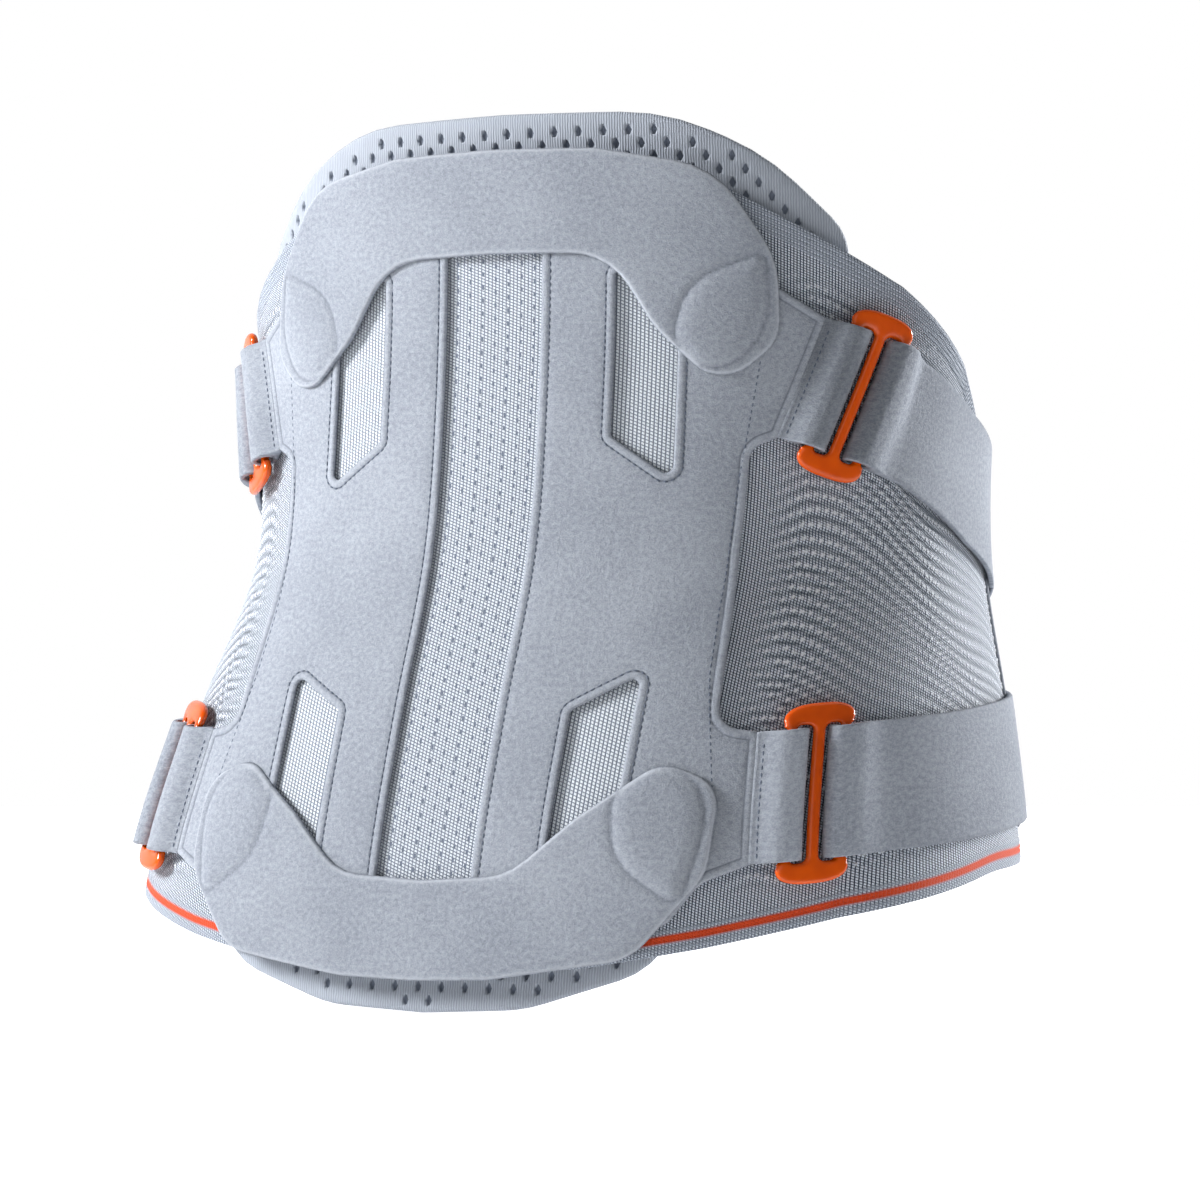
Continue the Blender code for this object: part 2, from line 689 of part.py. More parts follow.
def add_closure(right_flap, left_flap):
    """Add the tongue that laps the right front over the left, and the finger pockets."""
    end = FRONT_U + TONGUE_LAP
    tongue = plate(TONGUE_START, end, TONGUE_BOTTOM, TONGUE_TOP, 24.0, TONGUE_D)
    add("closure_tongue", wrap(tongue), velour_fabric, right_flap)
    inset = 1.5 * HOOK_INSET
    hook = plate(
        TONGUE_START + inset, end - inset, TONGUE_BOTTOM + inset, TONGUE_TOP - inset, 18.0, HOOK_D
    )
    add("closure_hook", wrap(hook), hook_tape, right_flap)
    right_pocket_u = FRONT_U + TONGUE_LAP - POCKET_WIDTH / 2 - 10.0
    right_pocket = pocket(right_pocket_u, TONGUE_D[1] + LAYER_GAP)
    add("finger_pocket_right", wrap(right_pocket), velour_fabric, right_flap)
    left_pocket = pocket(LEFT_POCKET_U, CLOSURE_D[1] + LAYER_GAP)
    add("finger_pocket_left", wrap(left_pocket, -1), velour_fabric, left_flap)


def clear_scene():
    """Remove every object and what it leaves behind."""
    for old in list(bpy.data.objects):
        bpy.data.objects.remove(old, do_unlink=True)


def main():
    """Build the belt from the body outwards."""
    clear_scene()
    add_back_layers()
    for side in (1, -1):
        add_panel_half(side)
        add_stays(side)
    add_yoke("upper", upper_yoke_half(), 76.0, 140.0)
    add_yoke("lower", lower_yoke_half(), -140.0, -86.0)
    flaps = {side: add_flap(side) for side in (1, -1)}
    sites = (("upper", UPPER_BUCKLE, UPPER_TAB_START), ("lower", LOWER_BUCKLE, LOWER_TAB_START))
    for side in (1, -1):
        for word, frame, tab_start in sites:
            add_arm_loop(f"{word}_arm_loop_{side_word(side)}", frame, side)
            add_buckle(f"{word}_buckle_{side_word(side)}", frame, side)
            add_strap(word, frame, tab_start, side, flaps[side])
    add_closure(flaps[1], flaps[-1])


main()
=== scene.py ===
"""Lumbar support belt in its worn shape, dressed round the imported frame.

Every fabric piece is cut flat and wrapped on the torso, as a maker would drape it. A flat
point is (u, z, d) in millimetres: u runs round the body from the spine, positive towards the
wearer's right, z is the height, and d is the distance out from the body.
"""

import logging
import math
from dataclasses import dataclass, field
from enum import Enum
from typing import Callable, Optional, Sequence

import bmesh
import bpy
import numpy as np
from mathutils import Matrix, Vector


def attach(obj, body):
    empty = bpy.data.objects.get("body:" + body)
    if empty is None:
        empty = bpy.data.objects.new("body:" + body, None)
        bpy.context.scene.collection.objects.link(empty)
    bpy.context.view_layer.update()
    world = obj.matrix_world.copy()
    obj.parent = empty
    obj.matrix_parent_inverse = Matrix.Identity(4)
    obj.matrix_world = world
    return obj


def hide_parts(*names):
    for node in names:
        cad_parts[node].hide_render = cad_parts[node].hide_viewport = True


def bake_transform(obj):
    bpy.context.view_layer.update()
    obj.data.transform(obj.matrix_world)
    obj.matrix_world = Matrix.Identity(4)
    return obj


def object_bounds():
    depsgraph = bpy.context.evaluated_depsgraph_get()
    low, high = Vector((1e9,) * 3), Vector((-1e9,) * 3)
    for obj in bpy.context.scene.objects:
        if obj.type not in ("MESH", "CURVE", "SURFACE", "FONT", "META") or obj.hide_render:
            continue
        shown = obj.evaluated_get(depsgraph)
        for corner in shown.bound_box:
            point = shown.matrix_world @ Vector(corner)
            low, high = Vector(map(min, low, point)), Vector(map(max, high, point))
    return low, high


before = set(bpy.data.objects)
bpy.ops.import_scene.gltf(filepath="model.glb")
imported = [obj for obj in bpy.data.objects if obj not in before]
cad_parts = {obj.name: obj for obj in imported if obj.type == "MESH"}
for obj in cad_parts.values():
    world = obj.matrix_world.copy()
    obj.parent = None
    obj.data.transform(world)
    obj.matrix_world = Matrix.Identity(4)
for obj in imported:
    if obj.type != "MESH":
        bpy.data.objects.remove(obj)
CAD_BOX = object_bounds()

LOG = logging.getLogger("lumbar_belt")
MM = 0.001

Outline = list[tuple[float, float]]
Relief = Callable[[np.ndarray, np.ndarray, np.ndarray], np.ndarray]


class Side(Enum):
    """The wearer's side a piece is on; the value is the sign of u."""

    RIGHT = 1
    LEFT = -1

    @property
    def word(self) -> str:
        """Return the word used in node and body names."""
        return self.name.lower()


# --- The body the belt is worn on ---
@dataclass
class Torso:
    """The torso form that every flat piece is wrapped on.

    Its sections repeat the ones that the frame's solids were wrapped on.
    """

    waist_width: float = 276.0
    waist_depth: float = 204.0
    spine_setback: float = 87.0
    front_fullness: float = 2.3
    true_reach: float = 150.0
    side_u: float = 210.0
    front_u: float = 400.0
    row_step: float = 2.0
    # height, extra half width, extra half depth, extra spine setback, back fullness
    levels: tuple[tuple[float, ...], ...] = (
        (-185.0, 27.0, 25.0, 60.0, 2.6),
        (-115.0, 23.0, 22.0, 48.0, 2.6),
        (-60.0, 13.5, 14.0, 29.0, 2.4),
        (0.0, -0.5, 4.0, 5.0, 2.25),
        (60.0, 1.5, -4.0, -4.5, 2.15),
        (120.0, 9.0, -4.0, -7.0, 2.05),
        (185.0, 13.0, -3.0, -4.0, 2.0),
    )
    points: np.ndarray = field(init=False, repr=False)
    normals: np.ndarray = field(init=False, repr=False)
    heights: np.ndarray = field(init=False, repr=False)

    def __post_init__(self) -> None:
        """Tabulate the surface once, at 1 mm round the body and row_step up it."""
        self.heights = np.arange(-186.0, 186.0 + self.row_step, self.row_step)
        rows = [self._section(z) for z in self.heights]
        half = np.array(rows)
        mirror = half[:, :0:-1] * np.array([-1.0, 1.0])
        self.points = np.concatenate([mirror, half], axis=1)
        along = np.empty_like(self.points)
        along[:, 1:-1] = self.points[:, 2:] - self.points[:, :-2]
        along[:, 0] = along[:, -1] = (-1.0, 0.0)
        normals = np.stack([along[..., 1], -along[..., 0]], axis=-1)
        self.normals = normals / np.linalg.norm(normals, axis=-1, keepdims=True)

    def _level(self, z: float, column: int) -> float:
        """Return one column of the levels at a height, on a smooth curve through its rows."""
        heights = [row[0] for row in self.levels]
        values = [row[column] for row in self.levels]
        z = min(max(z, heights[0]), heights[-1])
        last = len(heights) - 1
        i = min(max(int(np.searchsorted(heights, z, side="right")) - 1, 0), last - 1)
        span = heights[i + 1] - heights[i]
        t = (z - heights[i]) / span

        def slope(k: int) -> float:
            """Return the curve's rise over this span at one row."""
            low, high = max(k - 1, 0), min(k + 1, last)
            return (values[high] - values[low]) / (heights[high] - heights[low]) * span

        return (
            (2 * t**3 - 3 * t**2 + 1) * values[i]
            + (t**3 - 2 * t**2 + t) * slope(i)
            + (3 * t**2 - 2 * t**3) * values[i + 1]
            + (t**3 - t**2) * slope(i + 1)
        )

    def _section(self, z: float) -> np.ndarray:
        """Return the half section at a height, one point for each millimetre of u."""
        width = self.waist_width / 2 + self._level(z, 1)
        depth = self.waist_depth / 2 + self._level(z, 2)
        middle = depth - self.spine_setback - self._level(z, 3)
        angle = np.linspace(0.0, math.pi, 1441)
        fullness = np.where(angle < math.pi / 2, self._level(z, 4), self.front_fullness)
        across, along = np.sin(angle), np.cos(angle)
        x = width * np.maximum(across, 0.0) ** (2 / fullness)
        y = middle - depth * np.sign(along) * np.abs(along) ** (2 / fullness)
        arcs = np.concatenate([[0.0], np.cumsum(np.hypot(np.diff(x), np.diff(y)))])
        side = arcs[len(angle) // 2]
        u = np.arange(0.0, self.front_u + 1.0)
        arc = np.where(
            u <= self.side_u,
            np.where(
                u <= self.true_reach,
                u,
                self.true_reach
                + (u - self.true_reach) * (side - self.true_reach) / (self.side_u - self.true_reach),
            ),
            side + (u - self.side_u) * (arcs[-1] - side) / (self.front_u - self.side_u),
        )
        return np.stack([np.interp(arc, arcs, x), np.interp(arc, arcs, y)], axis=1)

    def wrap(self, flat: np.ndarray) -> np.ndarray:
        """Wrap flat points on the torso.

        Args:
            flat: rows of (u, z, d) in millimetres.

        Returns:
            Rows of world coordinates in metres.
        """
        turns = np.mod(flat[:, 0] + self.front_u, 2 * self.front_u)
        row = np.clip((flat[:, 1] - self.heights[0]) / self.row_step, 0, len(self.heights) - 1.001)
        i, j = np.floor(row).astype(int), np.floor(turns).astype(int)
        s, t = (row - i)[:, None], (turns - j)[:, None]
        ahead = np.where(j + 1 > 2 * self.front_u, 0, j + 1).astype(int)
        found = []
        for table in (self.points, self.normals):
            low = table[i, j] * (1 - t) + table[i, ahead] * t
            high = table[i + 1, j] * (1 - t) + table[i + 1, ahead] * t
            found.append(low * (1 - s) + high * s)
        place, normal = found
        normal = normal / np.linalg.norm(normal, axis=1, keepdims=True)
        place = place + normal * flat[:, 2:3]
        return np.column_stack([place, flat[:, 1]]) * MM


TORSO = Torso()


# --- Layers and shared sizes, the same as the solids' ---
@dataclass(frozen=True)
class Layers:
    """Offsets from the body of each layer, (inner, outer), in millimetres."""

    pad: tuple[float, float] = (0.0, 3.0)
    core: tuple[float, float] = (3.35, 5.35)
    knit: tuple[float, float] = (5.7, 7.3)
    lining: tuple[float, float] = (7.65, 8.65)
    stay: tuple[float, float] = (9.0, 9.7)
    cover: tuple[float, float] = (10.05, 11.15)
    yoke: tuple[float, float] = (11.5, 13.4)
    closure: tuple[float, float] = (7.65, 8.65)
    hook: tuple[float, float] = (9.0, 9.6)
    strap: tuple[float, float] = (9.0, 11.2)
    tab: tuple[float, float] = (9.95, 11.2)
    tongue: tuple[float, float] = (9.95, 11.75)
    pocket: tuple[float, float] = (12.1, 16.3)


@dataclass(frozen=True)
class BuckleSize:
    """Sizes of a three-bar link and of the fabric loops that hold it, in millimetres."""

    strap_width: float = 47.0
    side_clearance: float = 1.1
    flange: float = 7.6
    length: float = 24.0
    thickness: float = 3.2
    bar_pitch: float = 9.0
    centre_bar: float = 4.0
    outer_bar: float = 3.2
    loop_inside: float = 3.6
    loop_fabric: float = 1.2
    seam: float = 19.5

    @property
    def loop_outside(self) -> float:
        """Return the outer radius of a fabric loop."""
        return self.loop_inside + self.loop_fabric

    @property
    def bar_d(self) -> float:
        """Return the offset of the bars' centre line from the body."""
        return LAYERS.closure[0] + self.loop_outside


@dataclass(frozen=True)
class Site:
    """Where one strap pulls on the panel: the buckle's place and the strap's slope."""

    word: str
    u: float
    z: float
    slope: float
    tab_start: float
    tab_length: float = 44.0

    def flat(self, s: float, t: float) -> tuple[float, float]:
        """Return the flat (u, z) of a point s along the strap and t across it."""
        angle = math.radians(self.slope)
        return (
            self.u + s * math.cos(angle) - t * math.sin(angle),
            self.z + s * math.sin(angle) + t * math.cos(angle),
        )


LAYERS = Layers()
BUCKLE = BuckleSize()
SITES = (Site("upper", 131.0, 58.0, -19.5, 140.0), Site("lower", 134.0, -87.0, 5.5, 136.0))


# --- Flat outlines ---
def rounded(corners: Sequence[Sequence[float]], step: float = 12.0) -> Outline:
    """Round an outline's corners.

    Args:
        corners: (x, y) for a sharp corner, or (x, y, radius).
        step: degrees between two points of a rounding.

    Returns:
        The outline's points.
    """
    outline: Outline = []
    for i, corner in enumerate(corners):
        here = Vector(corner[:2])
        if len(corner) < 3:
            outline.append((here.x, here.y))
            continue
        before = (Vector(corners[i - 1][:2]) - here).normalized()
        after = (Vector(corners[(i + 1) % len(corners)][:2]) - here).normalized()
        half = before.angle(after) / 2
        reach = corner[2] / math.tan(half)
        centre = here + (before + after).normalized() * corner[2] / math.sin(half)
        first, last = here + before * reach - centre, here + after * reach - centre
        sweep = first.angle_signed(last)
        steps = max(3, round(abs(sweep) / math.radians(step)))
        for k in range(steps + 1):
            point = centre + Matrix.Rotation(-sweep * k / steps, 2) @ first
            outline.append((point.x, point.y))
    return outline


def mirrored(half: Sequence[Sequence[float]]) -> Outline:
    """Return a whole outline from its right half, given from top to bottom."""
    left = [(-corner[0], *corner[1:]) for corner in reversed(half) if corner[0] > 0]
    return rounded(list(half) + left)


def flipped(outline: Outline, side: Side) -> Outline:
    """Return an outline drawn for the right side, turned over for the left one."""
    if side is Side.RIGHT:
        return outline
    return [(-u, z) for u, z in reversed(outline)]


def without_doubles(outline: Outline) -> Outline:
    """Return an outline without the points that repeat the one before them."""
    return [p for i, p in enumerate(outline) if math.dist(p, outline[i - 1]) > 1e-3]


def outline_area(outline: Outline) -> float:
    """Return the area inside an outline, in square millimetres."""
    points = np.array(outline)
    after = np.roll(points, -1, axis=0)
    return abs(float(np.sum(points[:, 0] * after[:, 1] - points[:, 1] * after[:, 0]))) / 2


def edge_distance(points: np.ndarray, loops: Sequence[Outline]) -> np.ndarray:
    """Return how far each flat point lies from the nearest outline, in millimetres."""
    best = np.full(len(points), 1e9)
    for loop in loops:
        start = np.array(loop)
        step = np.roll(start, -1, axis=0) - start
        length = np.maximum((step**2).sum(axis=1), 1e-9)
        for a, along, square in zip(start, step, length):
            t = np.clip(((points - a) @ along) / square, 0.0, 1.0)
            gap = points - a - t[:, None] * along
            best = np.minimum(best, np.sqrt((gap**2).sum(axis=1)))
    return best


class Patterns:
    """The belt's flat patterns, in millimetres of u and z, as the solids have them."""

    strip_half = 19.0
    band_half = 94.0
    panel_top = 135.0
    panel_bottom = -135.0
    window_inner = 46.5
    window_outer = 69.0
    window_corner = 2.5
    front_edge = 398.0

    @classmethod
    def pad(cls) -> Outline:
        """Return the spacer mesh pad's outline."""
        return mirrored([
            (0, 165), (64, 164, 85), (100, 148, 90), (134, 116, 20), (cls.band_half + 16, 40, 40),
            (cls.band_half + 14, -118, 20), (84, -151, 30), (40, -165, 60), (0, -167),
        ])

    @staticmethod
    def core() -> Outline:
        """Return the foam core's outline."""
        return mirrored([(0, 62), (58, 62, 22), (64, -20, 60), (56, -100, 24), (0, -100)])

    @classmethod
    def knit_top(cls) -> Outline:
        """Return the upper hem from the centre back to the front edge."""
        return rounded(
            [(0, 148), (66, 146, 40), (146, 102, 90), (208, 71, 30), (232, 46, 30), (cls.front_edge, 40)]
        )

    @classmethod
    def knit_bottom(cls) -> Outline:
        """Return the lower hem from the centre back to the front edge."""
        return rounded(
            [(0, -150), (60, -150, 40), (104, -142, 120), (210, -118, 90), (cls.front_edge, -110)]
        )

    @classmethod
    def panel(cls, inner: float) -> Outline:
        """Return the right half of the back panel from its inner edge, arms included."""
        half, end = BUCKLE.strap_width / 2, -BUCKLE.seam
        (upper_top, upper_bottom), (lower_top, lower_bottom) = (
            (site.flat(end, half), site.flat(end, -half)) for site in SITES
        )
        return rounded([
            (inner, cls.panel_top), (74, cls.panel_top, 8), (cls.band_half + 6, 100, 12),
            upper_top, upper_bottom,
            (cls.band_half + 1, upper_bottom[1] - 4, 7), (cls.band_half, 0),
            (cls.band_half + 4, lower_top[1] + 2, 9), lower_top, lower_bottom,
            (cls.band_half + 7, -119, 12), (cls.band_half - 4, cls.panel_bottom, 8),
            (inner, cls.panel_bottom),
        ])

    @classmethod
    def windows(cls) -> list[Outline]:
        """Return the two openings of the right panel half, pointed at their outer side."""
        near, far = cls.window_inner, cls.window_outer
        upper = [(near, 105), (far, 105), (far, 27), (near, 43)]
        lower = [(near, -58), (far, -45), (far, -112), (near, -112)]
        return [rounded([(*corner, cls.window_corner) for corner in window]) for window in (upper, lower)]

    @staticmethod
    def upper_yoke() -> Outline:
        """Return the right half of the upper yoke, lobe included."""
        return rounded([
            (0, 151), (40, 150), (82, 142, 32), (103, 108, 34), (104, 78, 16), (84, 60, 14),
            (61, 83, 24), (44, 111, 26), (0, 112),
        ])

    @staticmethod
    def lower_yoke() -> Outline:
        """Return the right half of the lower yoke, lobe included."""
        return rounded([
            (0, -119), (34, -117, 24), (56, -96, 24), (82, -76, 12), (103, -84, 14), (103, -116, 20),
            (80, -146, 20), (30, -154, 30), (0, -155),
        ])

    @staticmethod
    def plate(left: float, right: float, bottom: float, top: float, radius: float) -> Outline:
        """Return a rectangle with rounded corners."""
        corners = ((left, top), (right, top), (right, bottom), (left, bottom))
        return rounded([(*corner, radius) for corner in corners])


# --- Materials ---
def linear(code: str) -> tuple[float, float, float, float]:
    """Turn an sRGB hex colour into the linear values that a shader takes."""
    parts = [int(code[i : i + 2], 16) / 255 for i in (1, 3, 5)]
    turned = [c / 12.92 if c <= 0.04045 else ((c + 0.055) / 1.055) ** 2.4 for c in parts]
    return (*turned, 1.0)


def add_node(
    tree: bpy.types.NodeTree,
    kind: str,
    settings: Optional[dict] = None,
    values: Optional[dict] = None,
    links: Optional[dict] = None,
) -> bpy.types.Node:
    """Add a node with its settings and links.

    Args:
        tree: the material's node tree.
        kind: the node's type name without its ShaderNode prefix.
        settings: properties of the node.
        values: input names or indices and their values.
        links: input names or indices and the output sockets that feed them.

    Returns:
        The new node.
    """
    made = tree.nodes.new("ShaderNode" + kind)
    for key, value in (settings or {}).items():
        setattr(made, key, value)
    for key, value in (values or {}).items():
        made.inputs[key].default_value = value
    for key, socket in (links or {}).items():
        tree.links.new(socket, made.inputs[key])
    return made


def stripes(
    tree: bpy.types.NodeTree, split: bpy.types.Node, per_u: float, per_z: float
) -> bpy.types.Node:
    """Add a cosine wave over the flat cloth.

    Args:
        tree: the material's node tree.
        split: the node that gives the flat place in metres.
        per_u: cycles for each millimetre round the body.
        per_z: cycles for each millimetre up it.

    Returns:
        The node whose output runs from -1 to 1.
    """
    up = add_node(
        tree, "Math", {"operation": "MULTIPLY"}, {1: per_z * 2 * math.pi / MM}, {0: split.outputs["Y"]}
    )
    both = add_node(
        tree, "Math", {"operation": "MULTIPLY_ADD"}, {1: per_u * 2 * math.pi / MM},
        {0: split.outputs["X"], 2: up.outputs[0]},
    )
    return add_node(tree, "Math", {"operation": "COSINE"}, links={0: both.outputs[0]})


def ramp(
    tree: bpy.types.NodeTree, source: bpy.types.NodeSocket, low: float, high: float, top: float = 1.0
) -> bpy.types.Node:
    """Add a smooth step from 0 at low to top at high; return its node."""
    return add_node(
        tree, "MapRange", {"interpolation_type": "SMOOTHSTEP"},
        {"From Min": low, "From Max": high, "To Max": top}, {"Value": source},
    )


def noise(
    tree: bpy.types.NodeTree, place: bpy.types.NodeSocket, size_mm: float, detail: float = 2.0,
    rough: float = 0.5,
) -> bpy.types.NodeSocket:
    """Add a noise of this grain size; return its value's socket."""
    values = {"Scale": 1 / (size_mm * MM), "Detail": detail, "Roughness": rough}
    return add_node(tree, "TexNoise", values=values, links={"Vector": place}).outputs[0]


def attribute(tree: bpy.types.NodeTree, name: str) -> bpy.types.NodeSocket:
    """Return the socket that reads one of the piece's own attributes."""
    return add_node(tree, "Attribute", {"attribute_name": name}).outputs["Fac"]


def combine(tree: bpy.types.NodeTree, operation: str, *nodes: bpy.types.Node) -> bpy.types.Node:
    """Join the first outputs of several nodes with one math operation."""
    joined = nodes[0]
    for other in nodes[1:]:
        joined = add_node(
            tree, "Math", {"operation": operation}, links={0: joined.outputs[0], 1: other.outputs[0]}
        )
    return joined


def mix_colour(
    tree: bpy.types.NodeTree, factor: bpy.types.NodeSocket, first: object, second: object
) -> bpy.types.NodeSocket:
    """Mix two colours, each a hex code or a socket; return the output socket."""
    mixed = add_node(tree, "Mix", {"data_type": "RGBA"}, links={"Factor": factor})
    for index, colour in ((6, first), (7, second)):
        if isinstance(colour, str):
            mixed.inputs[index].default_value = linear(colour)
        else:
            tree.links.new(colour, mixed.inputs[index])
    return mixed.outputs[2]


@dataclass(frozen=True)
class Finish:
    """What a surface is made of; each kind of finish builds its own nodes."""

    name: str
    slot: str
    light: str
    shade: str

    def material(self) -> bpy.types.Material:
        """Return the finish's material, made once."""
        found = bpy.data.materials.get(self.name)
        if found is None:
            found = bpy.data.materials.new(self.name)
            found.use_nodes = True
            shader = found.node_tree.nodes["Principled BSDF"]
            self.dress(found.node_tree, shader)
        return found

    def dress(self, tree: bpy.types.NodeTree, shader: bpy.types.Node) -> None:
        """Add the finish's nodes to a new tree; each finish has its own."""
        raise NotImplementedError

    def tone(self, tree: bpy.types.NodeTree, factor: bpy.types.NodeSocket) -> bpy.types.NodeSocket:
        """Return the finish's colour, from its shade at 0 to its light at 1."""
        return mix_colour(tree, factor, self.shade, self.light)

    @staticmethod
    def roughen(
        shader: bpy.types.Node, source: bpy.types.NodeSocket, low: float, high: float
    ) -> None:
        """Let a pattern set the roughness, from low at 0 to high at 1."""
        values = {"To Min": low, "To Max": high}
        rough = add_node(shader.id_data, "MapRange", values=values, links={"Value": source})
        shader.id_data.links.new(rough.outputs["Result"], shader.inputs["Roughness"])

    @staticmethod
    def lay(
        shader: bpy.types.Node, colour: bpy.types.NodeSocket, even: dict[str, object],
        height: Optional[bpy.types.NodeSocket] = None, strength: float = 0.0, depth_mm: float = 0.0,
    ) -> None:
        """Lay the colour and the relief on the shader.

        Args:
            shader: the material's shader.
            colour: the socket that gives the colour.
            even: the shader's inputs that are the same all over.
            height: the socket that gives the relief.
            strength: how strongly the relief shades.
            depth_mm: the relief's depth.
        """
        tree = shader.id_data
        tree.links.new(colour, shader.inputs["Base Color"])
        if height is not None:
            values = {"Strength": strength, "Distance": depth_mm * MM}
            bump = add_node(tree, "Bump", values=values, links={"Height": height})
            tree.links.new(bump.outputs["Normal"], shader.inputs["Normal"])
        for key, value in even.items():
            shader.inputs[key].default_value = value


@dataclass(frozen=True)
class Velour(Finish):
    """Brushed loop velour: warp-knitted loops raised into a short, matt, hazy pile.

    A per-vertex attribute paints shade into welded grooves and a highlight on raised rims: -1 is a rim, 1 a
    groove.
    """

    pile_mm: float = 0.55
    mottle_mm: float = 1.7
    drift_mm: float = 45.0
    sheen: float = 0.1
    # groove is the painted shade of welded grooves, rim the painted highlight of raised rims.
    groove: str = "#5A606C"
    rim: str = "#C9CED8"

    def dress(self, tree: bpy.types.NodeTree, shader: bpy.types.Node) -> None:
        """Speckle the pile at fibre scale, with soft clouds where it lies another way."""
        place = add_node(tree, "TexCoord").outputs["UV"]
        pile = noise(tree, place, self.pile_mm, 2.0, 0.7)
        mottle = noise(tree, place, self.mottle_mm, 3.0, 0.6)
        drift = noise(tree, place, self.drift_mm)
        weighed = {"operation": "MULTIPLY_ADD"}
        grain = add_node(tree, "Math", weighed, {1: 0.9}, {0: pile, 2: mottle})
        both = add_node(tree, "Math", weighed, {1: 0.5}, {0: drift, 2: grain.outputs[0]})
        body = self.tone(tree, ramp(tree, both.outputs[0], 0.82, 1.58).outputs[0])
        # Painted shade in welded grooves and painted highlight on raised rims, read from the attribute.
        crease = attribute(tree, "crease")
        deep = ramp(tree, crease, 0.0, 1.0, 0.85)
        pale = ramp(tree, crease, 0.0, -1.0, 0.4)
        with_rim_highlight = mix_colour(tree, pale.outputs[0], body, self.rim)
        finished = mix_colour(tree, deep.outputs[0], with_rim_highlight, self.groove)
        even = {
            "Roughness": 0.95, "Specular IOR Level": 0.15, "Sheen Weight": self.sheen,
            "Sheen Roughness": 0.5, "Sheen Tint": linear("#E4E9F2"),
        }
        self.lay(shader, finished, even, grain.outputs[0], 0.75, 0.4)


@dataclass(frozen=True)
class Knit(Finish):
    """Flat-bed knit: columns of light stitches with dark gaps between, in real stitch sizes.

    The attributes "row", "hem" and "stripe" mark the raised rows, the ribbed hem and its line; along the
    rows the finish paints shade into the valleys and a highlight on the crests.
    """

    column_mm: float = 1.15
    course_mm: float = 0.95
    yarn_mm: float = 0.9
    column_gap: float = 0.85
    course_gap: float = 0.6
    slit_mm: tuple[float, float] = (0.0, 0.0)
    hem: str = "#99A2B1"
    stripe: str = "#D8481C"
    # Painted shade for the valleys between the raised rows, and painted highlight for their crests.
    valley: str = "#343E4E"
    crest: str = "#F0F4FA"

    def dress(self, tree: bpy.types.NodeTree, shader: bpy.types.Node) -> None:
        """Lay the stitches, darken the hem, tint its stripe, then paint shade into the valleys between the
        rows and a highlight on their crests.
        """
        place = add_node(tree, "TexCoord")
        split = add_node(tree, "SeparateXYZ", links={"Vector": place.outputs["UV"]})
        columns = stripes(tree, split, 1 / self.column_mm, 0.0)
        courses = stripes(tree, split, 0.5 / self.column_mm, 1 / self.course_mm)
        gaps = combine(
            tree, "MAXIMUM",
            ramp(tree, columns.outputs[0], 0.1, 1.0, self.column_gap),
            ramp(tree, courses.outputs[0], 0.2, 1.0, self.course_gap),
        )
        if self.slit_mm[0] > 0:
            wide, high = self.slit_mm
            across = ramp(tree, stripes(tree, split, 1 / wide, 0.0).outputs[0], 0.8, 0.95)
            up = ramp(tree, stripes(tree, split, 0.42 / wide, 1 / high).outputs[0], 0.3, 0.75)
            slits = combine(tree, "MULTIPLY", across, up)
            gaps = combine(tree, "MAXIMUM", gaps, slits)
        yarn = noise(tree, place.outputs["UV"], self.yarn_mm)
        depth = add_node(
            tree, "Math", {"operation": "MULTIPLY_ADD", "use_clamp": True}, {1: 0.5},
            {0: yarn, 2: gaps.outputs[0]},
        )
        darker = ramp(tree, depth.outputs[0], 0.12, 1.0)
        body = mix_colour(tree, darker.outputs[0], self.light, self.shade)
        # Painted shade in the valleys between the raised rows, painted highlight on their crests.
        row = attribute(tree, "row")
        low = ramp(tree, row, 0.0, -0.6, 0.75)
        high = ramp(tree, row, 0.05, 0.6, 0.8)
        shaded_valleys = mix_colour(tree, low.outputs[0], body, self.valley)
        lit_crests = mix_colour(tree, high.outputs[0], shaded_valleys, self.crest)
        hemmed = mix_colour(tree, attribute(tree, "hem"), lit_crests, self.hem)
        striped = mix_colour(tree, attribute(tree, "stripe"), hemmed, self.stripe)
        height = add_node(tree, "Math", {"operation": "SUBTRACT"}, {0: 1.0}, {1: depth.outputs[0]})
        even = {"Roughness": 0.85, "Specular IOR Level": 0.2, "Sheen Weight": 0.15}
        self.lay(shader, striped, even, height.outputs[0], 0.9, 0.5)


@dataclass(frozen=True)
class SpacerMesh(Finish):
    """Warp-knitted spacer mesh: fine ribs over a springy core, with painted shade inside its holes."""

    rib_mm: float = 1.0
    # Painted shade for the pits of the holes.
    hole: str = "#6A7280"

    def dress(self, tree: bpy.types.NodeTree, shader: bpy.types.Node) -> None:
        """Rib the face and paint shade into the holes from the piece's own attribute."""
        place = add_node(tree, "TexCoord")
        ribs = add_node(
            tree, "TexWave", {"bands_direction": "X"},
            {"Scale": 0.314 / (self.rib_mm * MM), "Distortion": 2.4, "Detail": 2.0},
            {"Vector": place.outputs["UV"]},
        )
        face = self.tone(tree, ribs.outputs["Fac"])
        deep = mix_colour(tree, attribute(tree, "hole"), face, self.hole)
        even = {"Roughness": 0.8, "Specular IOR Level": 0.3, "Sheen Weight": 0.15}
        self.lay(shader, deep, even, ribs.outputs["Fac"], 0.5, 0.3)


@dataclass(frozen=True)
class MouldedPlastic(Finish):
    """Injection-moulded polyamide, polished in the mould, letting a little light in."""

    def dress(self, tree: bpy.types.NodeTree, shader: bpy.types.Node) -> None:
        """Vary the colour in soft clouds and leave a faint mould grain in the gloss."""
        place = add_node(tree, "TexCoord").outputs["Object"]
        cloud = noise(tree, place, 9.0)
        self.roughen(shader, noise(tree, place, 1.5), 0.16, 0.26)
        self.lay(shader, self.tone(tree, cloud), {
            "IOR": 1.48, "Subsurface Weight": 0.08, "Subsurface Radius": (0.004, 0.0012, 0.0004),
            "Coat Weight": 0.12, "Coat Roughness": 0.08,
        })


